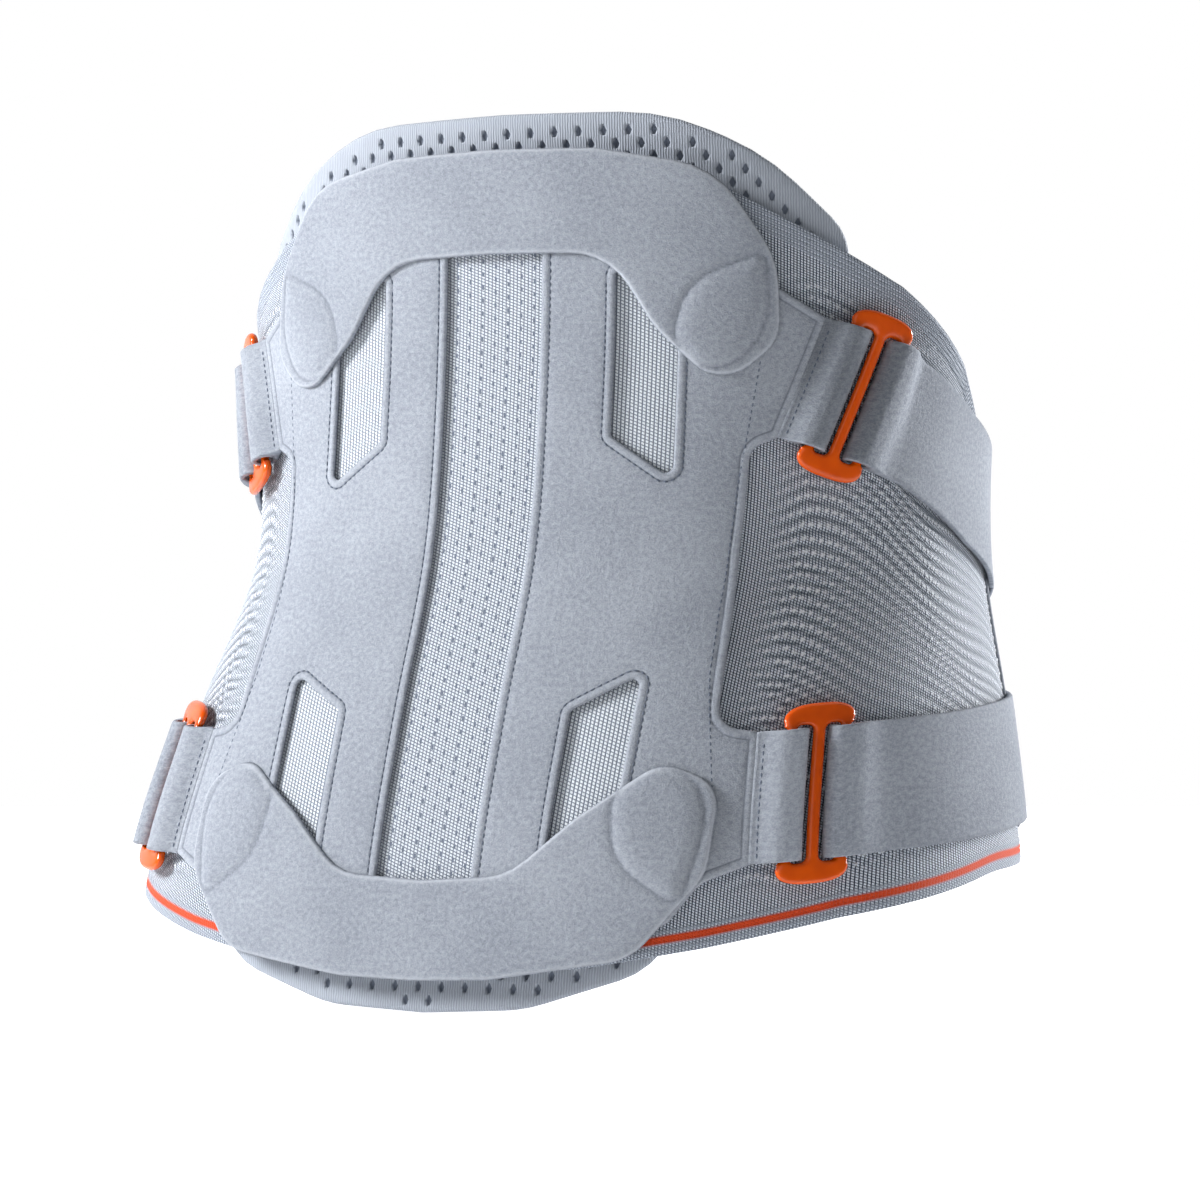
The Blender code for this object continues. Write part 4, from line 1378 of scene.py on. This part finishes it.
# --- The yokes ---
@dataclass
class Yokes:
    """The velour yokes across the panel's top and bottom, each with two lobes that peel."""

    neck: float = 67.0
    bend: float = 9.0
    dome: float = 1.1
    sink: float = 0.55
    rim_rings: tuple[float, ...] = (0.3, 0.4, 0.5, 0.8)

    def drop(self, upper: bool) -> Outline:
        """Return the embossed drop on the right lobe, pointed at its outer end."""
        if upper:
            corners = [(99, 111, 3), (72, 100, 22), (66, 74, 15), (85, 63, 15), (100, 84, 26)]
        else:
            corners = [(101, -93, 26), (88, -74, 18), (66, -82, 15), (71, -112, 24), (95, -128, 4)]
        return rounded(corners)

    def relief(self, drop: Outline) -> Relief:
        """Return the yoke's relief: a soft edge, and a drop that swells out of a groove."""
        inside = self.inside(drop)

        def height(u: np.ndarray, z: np.ndarray, distance: np.ndarray) -> np.ndarray:
            """Return the height at each point of the yoke."""
            swells = [0.0, -0.12, -self.sink, 0.25, self.dome * 0.85, self.dome]
            swell = np.interp(inside(u, z), [-4.0, -1.7, 0.0, 1.8, 5.5, 11.0], swells)
            fade = np.clip((distance - 0.8) / 2.5, 0.0, 1.0)
            edge = np.interp(distance, [0.0, 0.3, 0.7, 1.2, 2.0, 5.0], [-1.3, -0.55, -0.2, 0.0, 0.12, 0.35])
            return edge + swell * fade

        return height

    @staticmethod
    def inside(drop: Outline) -> Callable[[np.ndarray, np.ndarray], np.ndarray]:
        """Return a function of the distance into the drop, negative outside it."""
        corners = np.array(drop)
        after = np.roll(corners, -1, axis=0)

        def depth(u: np.ndarray, z: np.ndarray) -> np.ndarray:
            """Return how deep in the drop each point is."""
            points = np.column_stack([np.abs(u), z])
            crossings = np.zeros(len(points), int)
            for (x0, y0), (x1, y1) in zip(corners, after):
                spans = (y0 > points[:, 1]) != (y1 > points[:, 1])
                cross = x0 + (points[:, 1] - y0) * (x1 - x0) / (y1 - y0 if y1 != y0 else 1e-9)
                crossings += spans & (points[:, 0] < cross)
            return edge_distance(points, [drop]) * np.where(crossings % 2 == 1, 1.0, -1.0)

        return depth

    def build_half(self, word: str, half: Outline, side: Side) -> None:
        """Build half a yoke, from the spine to the end of its lobe."""
        drop = self.drop(word == "upper")
        outline = flipped(half, side)
        whole = half + [(u, z) for u, z in flipped(half, Side.LEFT) if u < 0]
        cloth = FlatCloth([whole]).hem(self.rim_rings).grid(1.0, 1.0)
        far = [face for face in cloth.mesh.faces if face.calc_center_median().x * side.value < 0]
        bmesh.ops.delete(cloth.mesh, geom=far, context="FACES")
        cloth.thicken(LAYERS.yoke, self.relief(drop))
        points = cloth.flat_points()
        off = self.inside(drop)(points[:, 0], points[:, 1])
        # Painted shade in the groove round the drop and painted highlight where the drop rises; painted
        # highlight on the yoke's rounded edge, slight painted shade at the very edge.
        groove = np.interp(off, [-1.5, 0.0, 1.2, 2.0, 3.2], [0.0, 0.6, -0.15, -0.4, 0.0])
        edge = edge_distance(points[:, :2], [whole])
        rim = np.interp(edge, [0.0, 0.3, 0.7, 1.3, 2.4], [0.2, -0.5, -1.0, -0.4, 0.0])
        lobe = f"{word}_lobe_{side.word}"
        nodes = [lobe, f"{word}_yoke"] if side is Side.RIGHT else [lobe]
        piece = wrap_piece(
            cloth.mesh, f"{word}_yoke_{side.word}", Finishes.yoke, nodes, {"crease": groove + rim},
            sharp_at=0.0,
        )
        declare_sheet(outline)
        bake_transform(piece)

    def build(self) -> None:
        """Build each yoke as two halves that meet on the spine."""
        for word, half in (("upper", Patterns.upper_yoke()), ("lower", Patterns.lower_yoke())):
            for side in Side:
                self.build_half(word, half, side)


# --- Straps, loops and buckles ---
@dataclass
class TensionStraps:
    """Four straps, the arm loops, and the plastic links between them."""

    across: int = 10
    step: float = 3.0
    pile: float = 0.7
    stitch_pitch: float = 2.6
    hook_inset: float = 4.0
    tab_corner: float = 14.0

    def profile(self, tail: Outline, tip: float) -> list[Outline]:
        """Return a padded loop round the outer bar that runs into a flat tail.

        Args:
            tail: the tail's (s, d) from its outer face round to its inner face.
            tip: where the tail's upper face leaves the loop, in degrees.

        Returns:
            The profile's outer loop and the room for the bar, in (s, d).
        """
        centre, radius = (BUCKLE.bar_pitch, BUCKLE.bar_d), BUCKLE.loop_outside + self.pile
        angles = np.radians(np.linspace(tip, 292.0, 26))
        outside = [(centre[0] + radius * math.cos(a), centre[1] + radius * math.sin(a)) for a in angles]
        room = np.radians(np.linspace(0.0, 360.0, 17)[:-1])
        small = BUCKLE.loop_inside
        inside = [(centre[0] + small * math.cos(a), centre[1] + small * math.sin(a)) for a in room]
        return [outside + list(reversed(tail)), inside]

    def sweep(self, loops: list[Outline], site: Site, side: Side, arm: bool) -> bmesh.types.BMesh:
        """Sweep a profile across the strap's width and lay it at its site, still flat."""
        half = BUCKLE.strap_width / 2
        middle = np.linspace(-half + 1.6, half - 1.6, self.across)
        stations = np.concatenate([[-half, -half + 0.5], middle, [half - 0.5, half]])
        mesh = bmesh.new()
        edges = []
        for loop in loops:
            ends = [mesh.verts.new((s, stations[0], d)) for s, d in loop]
            edges += [mesh.edges.new((a, b)) for a, b in zip(ends, ends[1:] + ends[:1])]
        bmesh.ops.triangle_fill(mesh, use_beauty=True, use_dissolve=False, edges=edges)
        faces = mesh.faces[:]
        for low, high in zip(stations, stations[1:]):
            first = bool(low == stations[0])
            grown = bmesh.ops.extrude_face_region(mesh, geom=faces, use_keep_orig=first)
            moved = [item for item in grown["geom"] if isinstance(item, bmesh.types.BMVert)]
            bmesh.ops.translate(mesh, verts=moved, vec=(0.0, high - low, 0.0))
            faces = [item for item in grown["geom"] if isinstance(item, bmesh.types.BMFace)]
        for vert in mesh.verts:
            if abs(abs(vert.co.y) - half) < 1e-4:
                tail = vert.co.x > BUCKLE.bar_pitch + 14.0
                centre = (LAYERS.strap[0] + LAYERS.strap[1]) / 2 if tail else BUCKLE.bar_d
                vert.co.z += (centre - vert.co.z) * (0.35 if tail else 0.1)
        if arm:
            bmesh.ops.scale(mesh, vec=(-1, 1, 1), verts=mesh.verts)
        self.lay_at(mesh, site, side, 0.0)
        bmesh.ops.recalc_face_normals(mesh, faces=mesh.faces[:])
        return mesh

    @staticmethod
    def lay_at(mesh: bmesh.types.BMesh, site: Site, side: Side, d: float) -> None:
        """Turn a flat mesh to a strap's slope, lay it at its site, and mirror it for the left."""
        slope = math.radians(site.slope)
        place = Matrix.Translation((site.u, site.z, d)) @ Matrix.Rotation(slope, 4, "Z")
        bmesh.ops.transform(mesh, matrix=place, verts=mesh.verts)
        if side is Side.LEFT:
            bmesh.ops.scale(mesh, vec=(-1, 1, 1), verts=mesh.verts)

    def build_arm_loop(self, site: Site, side: Side) -> None:
        """Build the puffy fold at the arm's end and the seam that closes it."""
        high = LAYERS.cover[1]
        crest = BUCKLE.bar_d + BUCKLE.loop_outside + self.pile
        tail = [
            (13.4, crest - 1.2), (16.2, high + 2.2), (18.4, high + 0.7), (19.4, high + 0.35),
            (20.4, high + 0.3), (20.4, LAYERS.strap[0]), (16.0, LAYERS.strap[0] - 0.4),
        ]
        mesh = self.sweep(self.profile(tail, 62.0), site, side, arm=True)
        name = f"{site.word}_arm_loop_{side.word}"
        loop = wrap_piece(mesh, f"{name}_velour", Finishes.panel, [name])
        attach(loop, "back")
        path = [site.flat(-BUCKLE.seam + 1.6, t) for t in (-22.0, 22.0)]
        path = [(u * side.value, z) for u, z in path]
        sew(f"{name}_seam", path, self.stitch_pitch, high + 1.0)

    def build_strap(self, site: Site, side: Side) -> None:
        """Build a strap from its fold on the buckle to where its tab starts."""
        low, high = LAYERS.strap
        crest = BUCKLE.bar_d + BUCKLE.loop_outside + self.pile
        reach = np.arange(26.0, site.tab_start + 0.1, self.step)
        tail = [(13.0, crest - 0.8), (16.5, crest - 2.4), (20.0, high + 1.6), (23.0, high + 0.5)]
        tail += [(float(s), high) for s in reach]
        tail += [(float(s), low) for s in reach[::-1]]
        tail += [(18.0, low - 0.5)]
        mesh = self.sweep(self.profile(tail, 66.0), site, side, arm=False)
        word = f"{site.word}_strap"
        nodes = [f"{word}_rear_{side.word}", f"{word}_front_{side.word}"]
        strap = wrap_piece(mesh, f"{word}_{side.word}", Finishes.strap, nodes)
        blend_at_side(strap)

    def build_tab(self, site: Site, side: Side) -> None:
        """Build the strap's end tab with its welded border, and the hook patch under it."""
        half = BUCKLE.strap_width / 2
        start, end = site.tab_start + 0.2, site.tab_start + site.tab_length
        for inset, layer, finish, word, rings, relief in (
            (0.0, LAYERS.tab, Finishes.strap, "strap_tab", BORDER_RINGS, bordered()),
            (self.hook_inset, LAYERS.hook, Finishes.hook, "tab_hook", SOFT_EDGE_RINGS, soft_edge(0.2)),
        ):
            corner = self.tab_corner - inset
            corners = [
                (start + inset, half - inset), (end - inset, half - inset, corner),
                (end - inset, -half + inset, corner), (start + inset, -half + inset),
            ]
            outline = flipped([site.flat(s, t) for s, t in rounded(corners)], side)
            node = f"{site.word}_{word}_{side.word}"
            piece = cut_piece(
                f"{node}_piece", finish, [node], [outline], rings, (3.0, 3.0), layer, relief, creased=True
            )
            declare_sheet(outline)
            body = f"{site.word}_tab_{side.word}"
            if inset:
                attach(piece, body)
            else:
                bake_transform(piece)

    def flange(self) -> Outline:
        """Return the right end of a link: a half moon over the bars, along s and t."""
        inside = BUCKLE.strap_width / 2 + BUCKLE.side_clearance
        tip, depth, corner = BUCKLE.length / 2, BUCKLE.flange, 1.5
        arc = []
        for angle in np.radians(np.linspace(3.0, 177.0, 49)):
            c, sine = math.cos(angle), math.sin(angle)
            s = tip * math.copysign(abs(c) ** 0.72, c)
            arc.append((s, inside + corner + (depth - corner) * sine**0.8))
        return [(tip - 0.4, inside + 0.4)] + arc + [(0.4 - tip, inside + 0.4)]

    def build_buckle(self, site: Site, side: Side) -> None:
        """Build the glossy three-bar link with half-moon flanges and rounded bars."""
        inside = BUCKLE.strap_width / 2 + BUCKLE.side_clearance
        waist = BUCKLE.bar_pitch + BUCKLE.outer_bar / 2
        top_end = self.flange()
        ease = [(waist + 1.2, inside), (waist, inside - 1.2)]
        right = ease + [(waist, 1.2 - inside), (waist + 1.2, -inside)]
        low_end = [(-s, -t) for s, t in top_end]
        left = [(-s, t) for s, t in right]
        outline = without_doubles(top_end + left + low_end + [(s, -t) for s, t in right])
        near, far = BUCKLE.centre_bar / 2, BUCKLE.bar_pitch - BUCKLE.outer_bar / 2
        slot = rounded([(near, inside, 2.2), (far, inside, 1.5), (far, -inside, 1.5), (near, -inside, 2.2)])
        loops = [outline, slot, flipped(slot, Side.LEFT)]
        cloth = FlatCloth(loops).hem((0.1, 0.16, 0.26, 0.38)).grid(1.2, 1.2)
        top = BUCKLE.thickness / 2

        def crown(s: np.ndarray, t: np.ndarray, distance: np.ndarray) -> np.ndarray:
            """Round the link's edge over in a quarter circle, as a moulding's is."""
            return self.roll(distance) - top

        cloth.thicken((-top, top), crown)
        points = cloth.flat_points()
        back = self.roll(edge_distance(points[:, :2], loops))
        for vert, height in zip(cloth.mesh.verts, back):
            if vert.co.z <= -top + 1e-4:
                vert.co.z = -float(height)
        self.lay_at(cloth.mesh, site, side, BUCKLE.bar_d)
        if side is Side.LEFT:
            bmesh.ops.reverse_faces(cloth.mesh, faces=cloth.mesh.faces[:])
        name = f"{site.word}_buckle_{side.word}"
        link = wrap_piece(cloth.mesh, f"{name}_link", Finishes.plastic, [name])
        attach(link, name)

    @staticmethod
    def roll(distance: np.ndarray) -> np.ndarray:
        """Return a link's half thickness at each distance from its edge."""
        radius = BUCKLE.thickness / 2
        past = np.clip(1.0 - distance / radius, 0.0, 1.0)
        return np.maximum(radius * np.sqrt(1.0 - past**2), 0.12)

    def build(self) -> None:
        """Build all four straps with their loops, links and tabs."""
        for side in Side:
            for site in SITES:
                self.build_arm_loop(site, side)
                self.build_buckle(site, side)
                self.build_strap(site, side)
                self.build_tab(site, side)


# --- The front closure ---
@dataclass
class FrontClosure:
    """The velour front panels, the lapped tongue with its hook tape, and the finger pockets."""

    start: float = 250.0
    end: float = 396.0
    bottom: float = -104.0
    top: float = 34.0
    tongue: tuple[float, float, float, float] = (352.0, 436.0, -92.0, 22.0)
    pocket_size: tuple[float, float] = (34.0, 76.0)
    pocket_z: float = -35.0
    left_pocket_u: float = 337.0

    def build_plate(
        self, name: str, outline: Outline, layer: tuple[float, float], finish: Finish,
        node: str, body: str, relief: Relief, rings: Sequence[float],
    ) -> bpy.types.Object:
        """Build one flat piece of the closure and let it ride on its front half."""
        piece = cut_piece(name, finish, [node], [outline], rings, (3.5, 5.0), layer, relief, creased=True)
        declare_sheet(outline)
        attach(piece, body)
        return piece

    def build_pocket(self, centre: float, bottom: float, side: Side, body: str) -> None:
        """Build a finger pocket: a flat fabric sleeve, open at its top and bottom."""
        width, height = self.pocket_size
        half, rise, cloth = width / 2, 4.2, 1.1
        mesh = bmesh.new()
        angles = np.radians(np.linspace(0.0, 360.0, 41)[:-1])
        rows = np.linspace(self.pocket_z - height / 2, self.pocket_z + height / 2, 20)

        def ring(z: float, grow: float) -> list[bmesh.types.BMVert]:
            """Add one flat oval of the sleeve at a height."""
            made = []
            for angle in angles:
                c, s = math.cos(angle), math.sin(angle)
                u = centre + (half - grow) * math.copysign(abs(c) ** 0.35, c)
                d = bottom + rise / 2 + (rise / 2 - grow) * math.copysign(abs(s) ** 0.6, s)
                made.append(mesh.verts.new((u, z, d)))
            return made

        first = ring(rows[0], 0.0)
        edges = [mesh.edges.new((a, b)) for a, b in zip(first, first[1:] + first[:1])]
        for low, high in zip(rows, rows[1:]):
            grown = bmesh.ops.extrude_edge_only(mesh, edges=edges)
            verts = [item for item in grown["geom"] if isinstance(item, bmesh.types.BMVert)]
            edges = [item for item in grown["geom"] if isinstance(item, bmesh.types.BMEdge)]
            bmesh.ops.translate(mesh, verts=verts, vec=(0.0, high - low, 0.0))
        bmesh.ops.recalc_face_normals(mesh, faces=mesh.faces[:])
        if side is Side.LEFT:
            bmesh.ops.scale(mesh, vec=(-1, 1, 1), verts=mesh.verts)
            bmesh.ops.reverse_faces(mesh, faces=mesh.faces[:])
        bmesh.ops.solidify(mesh, geom=mesh.faces[:], thickness=cloth)
        name = f"finger_pocket_{side.word}"
        pocket = wrap_piece(mesh, f"{name}_sleeve", Finishes.panel, [name])
        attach(pocket, body)

    def build(self) -> None:
        """Build both front panels, then what laps over them."""
        for side in Side:
            outline = flipped(Patterns.plate(self.start, self.end, self.bottom, self.top, 10.0), side)
            name, body = f"closure_panel_{side.word}", f"front_flap_{side.word}"
            self.build_plate(
                f"{name}_velour", outline, LAYERS.closure, Finishes.panel, name, body,
                bordered(), BORDER_RINGS,
            )
        left, right, bottom, top = self.tongue
        body = "front_flap_right"
        self.build_plate(
            "closure_tongue_velour", Patterns.plate(left, right, bottom, top, 24.0), LAYERS.tongue,
            Finishes.panel, "closure_tongue", body, bordered(), BORDER_RINGS,
        )
        self.build_plate(
            "closure_hook_tape", Patterns.plate(left + 6, right - 6, bottom + 6, top - 6, 18.0),
            LAYERS.hook, Finishes.hook, "closure_hook", body, soft_edge(0.2), SOFT_EDGE_RINGS,
        )
        self.build_pocket(right - self.pocket_size[0] / 2 - 10.0, LAYERS.pocket[0], Side.RIGHT, body)
        self.build_pocket(self.left_pocket_u, LAYERS.closure[1] + 0.35, Side.LEFT, "front_flap_left")


# --- Studio ---
@dataclass
class Studio:
    """A pale floor and backdrop, soft light from the left, and the camera."""

    azimuth: float = 26.0
    elevation: float = -1.0
    distance: float = 1.76
    lens: float = 135.0
    target_z: float = -0.0156
    floor_gap: float = 0.002
    near_glow: float = 0.1
    far_glow: float = 0.92
    floor_glow: tuple[float, float] = (0.1, 0.75)
    lamp_distance: float = 1.8
    # name, turn from the camera, elevation, size, power
    lamps: tuple[tuple[str, float, float, float, float], ...] = (
        ("key_left", -82.0, 24.0, 0.6, 50.0),
        ("rim_right", 126.0, 10.0, 0.6, 48.0),
        ("fill_front", -12.0, 30.0, 1.4, 3.4),
    )

    @staticmethod
    def hang(
        data: bpy.types.ID, centre: Vector, distance: float, azimuth: float, elevation: float
    ) -> bpy.types.Object:
        """Hang a camera or a lamp so that it looks at the belt.

        Args:
            data: the camera or the light, whose name the object takes.
            centre: the place it is measured from.
            distance: how far off it is, in metres.
            azimuth: degrees round the belt from behind, towards the wearer's right.
            elevation: degrees above the level.

        Returns:
            The new object.
        """
        a, e = math.radians(azimuth), math.radians(elevation)
        away = Vector((math.sin(a) * math.cos(e), -math.cos(a) * math.cos(e), math.sin(e)))
        hung = bpy.data.objects.new(data.name, data)
        hung.location = centre + away * distance
        hung.rotation_euler = away.to_track_quat("Z", "Y").to_euler()
        bpy.context.scene.collection.objects.link(hung)
        return hung

    def camera(self) -> None:
        """Place the camera behind the wearer, turned to the wearer's right."""
        data = bpy.data.cameras.new("camera")
        data.lens = self.lens
        data.clip_end = 50.0
        centre = Vector((0, 0, self.target_z))
        bpy.context.scene.camera = self.hang(data, centre, self.distance, self.azimuth, self.elevation)

    def light(self) -> None:
        """Add the soft lamps that look at the belt."""
        for name, turn, elevation, size, power in self.lamps:
            data = bpy.data.lights.new(name, "AREA")
            data.shape = "DISK"
            data.size = size
            data.energy = power
            self.hang(data, Vector(), self.lamp_distance, self.azimuth + turn, elevation)

    def backdrop(self) -> None:
        """Add a pale floor just under the belt."""
        mesh = bmesh.new()
        bmesh.ops.create_circle(mesh, cap_ends=True, segments=96, radius=2.6)
        level = CAD_BOX[0][2] - self.floor_gap
        bmesh.ops.translate(mesh, verts=mesh.verts, vec=(0, 0, level))
        data = bpy.data.meshes.new("floor")
        mesh.to_mesh(data)
        mesh.free()
        paint = bpy.data.materials.new("floor_paint_matt")
        paint.use_nodes = True
        shader = paint.node_tree.nodes["Principled BSDF"]
        shader.inputs["Base Color"].default_value = linear("#FCFCFC")
        shader.inputs["Roughness"].default_value = 0.95
        shader.inputs["Emission Color"].default_value = (1.0, 1.0, 1.0, 1.0)
        path = add_node(paint.node_tree, "LightPath")
        glow = add_node(
            paint.node_tree, "MapRange",
            values={"To Min": self.floor_glow[0], "To Max": self.floor_glow[1]},
            links={"Value": path.outputs["Is Camera Ray"]},
        )
        paint.node_tree.links.new(glow.outputs["Result"], shader.inputs["Emission Strength"])
        data.materials.append(paint)
        floor = bpy.data.objects.new("floor", data)
        bpy.context.scene.collection.objects.link(floor)

    def sky(self) -> None:
        """Light the room: bright behind the belt, dim on the camera's side, and white to look at."""
        world = bpy.data.worlds.new("studio")
        world.use_nodes = True
        tree = world.node_tree
        a = math.radians(self.azimuth)
        bright = Vector((-math.sin(a), math.cos(a), 0.45)).normalized()
        place = add_node(tree, "TexCoord")
        facing = add_node(
            tree, "VectorMath", {"operation": "DOT_PRODUCT"}, {1: bright}, {0: place.outputs["Generated"]}
        )
        strength = add_node(
            tree, "MapRange", {"interpolation_type": "SMOOTHSTEP"},
            {"From Min": 0.3, "From Max": 0.84, "To Min": self.near_glow, "To Max": self.far_glow},
            {"Value": facing.outputs["Value"]},
        )
        path = add_node(tree, "LightPath")
        seen = combine(tree, "MAXIMUM", strength, path)
        glow = tree.nodes["Background"]
        glow.inputs["Color"].default_value = (1.0, 1.0, 1.0, 1.0)
        tree.links.new(seen.outputs[0], glow.inputs["Strength"])
        bpy.context.scene.world = world

    def build(self) -> None:
        """Set the camera, the light and the plain surroundings."""
        self.camera()
        self.backdrop()
        self.sky()
        self.light()
        bpy.context.scene.view_settings.view_transform = "Standard"


def main() -> None:
    """Build the belt from the skin outwards, then the studio."""
    logging.basicConfig(level=logging.INFO, format="%(name)s: %(message)s")
    for part in (SkinPad(), KnittedBody(), BackPanel(), Yokes(), TensionStraps(), FrontClosure(), Studio()):
        part.build()
        LOG.info("built %s", type(part).__name__)


if __name__ == "__main__":
    main()
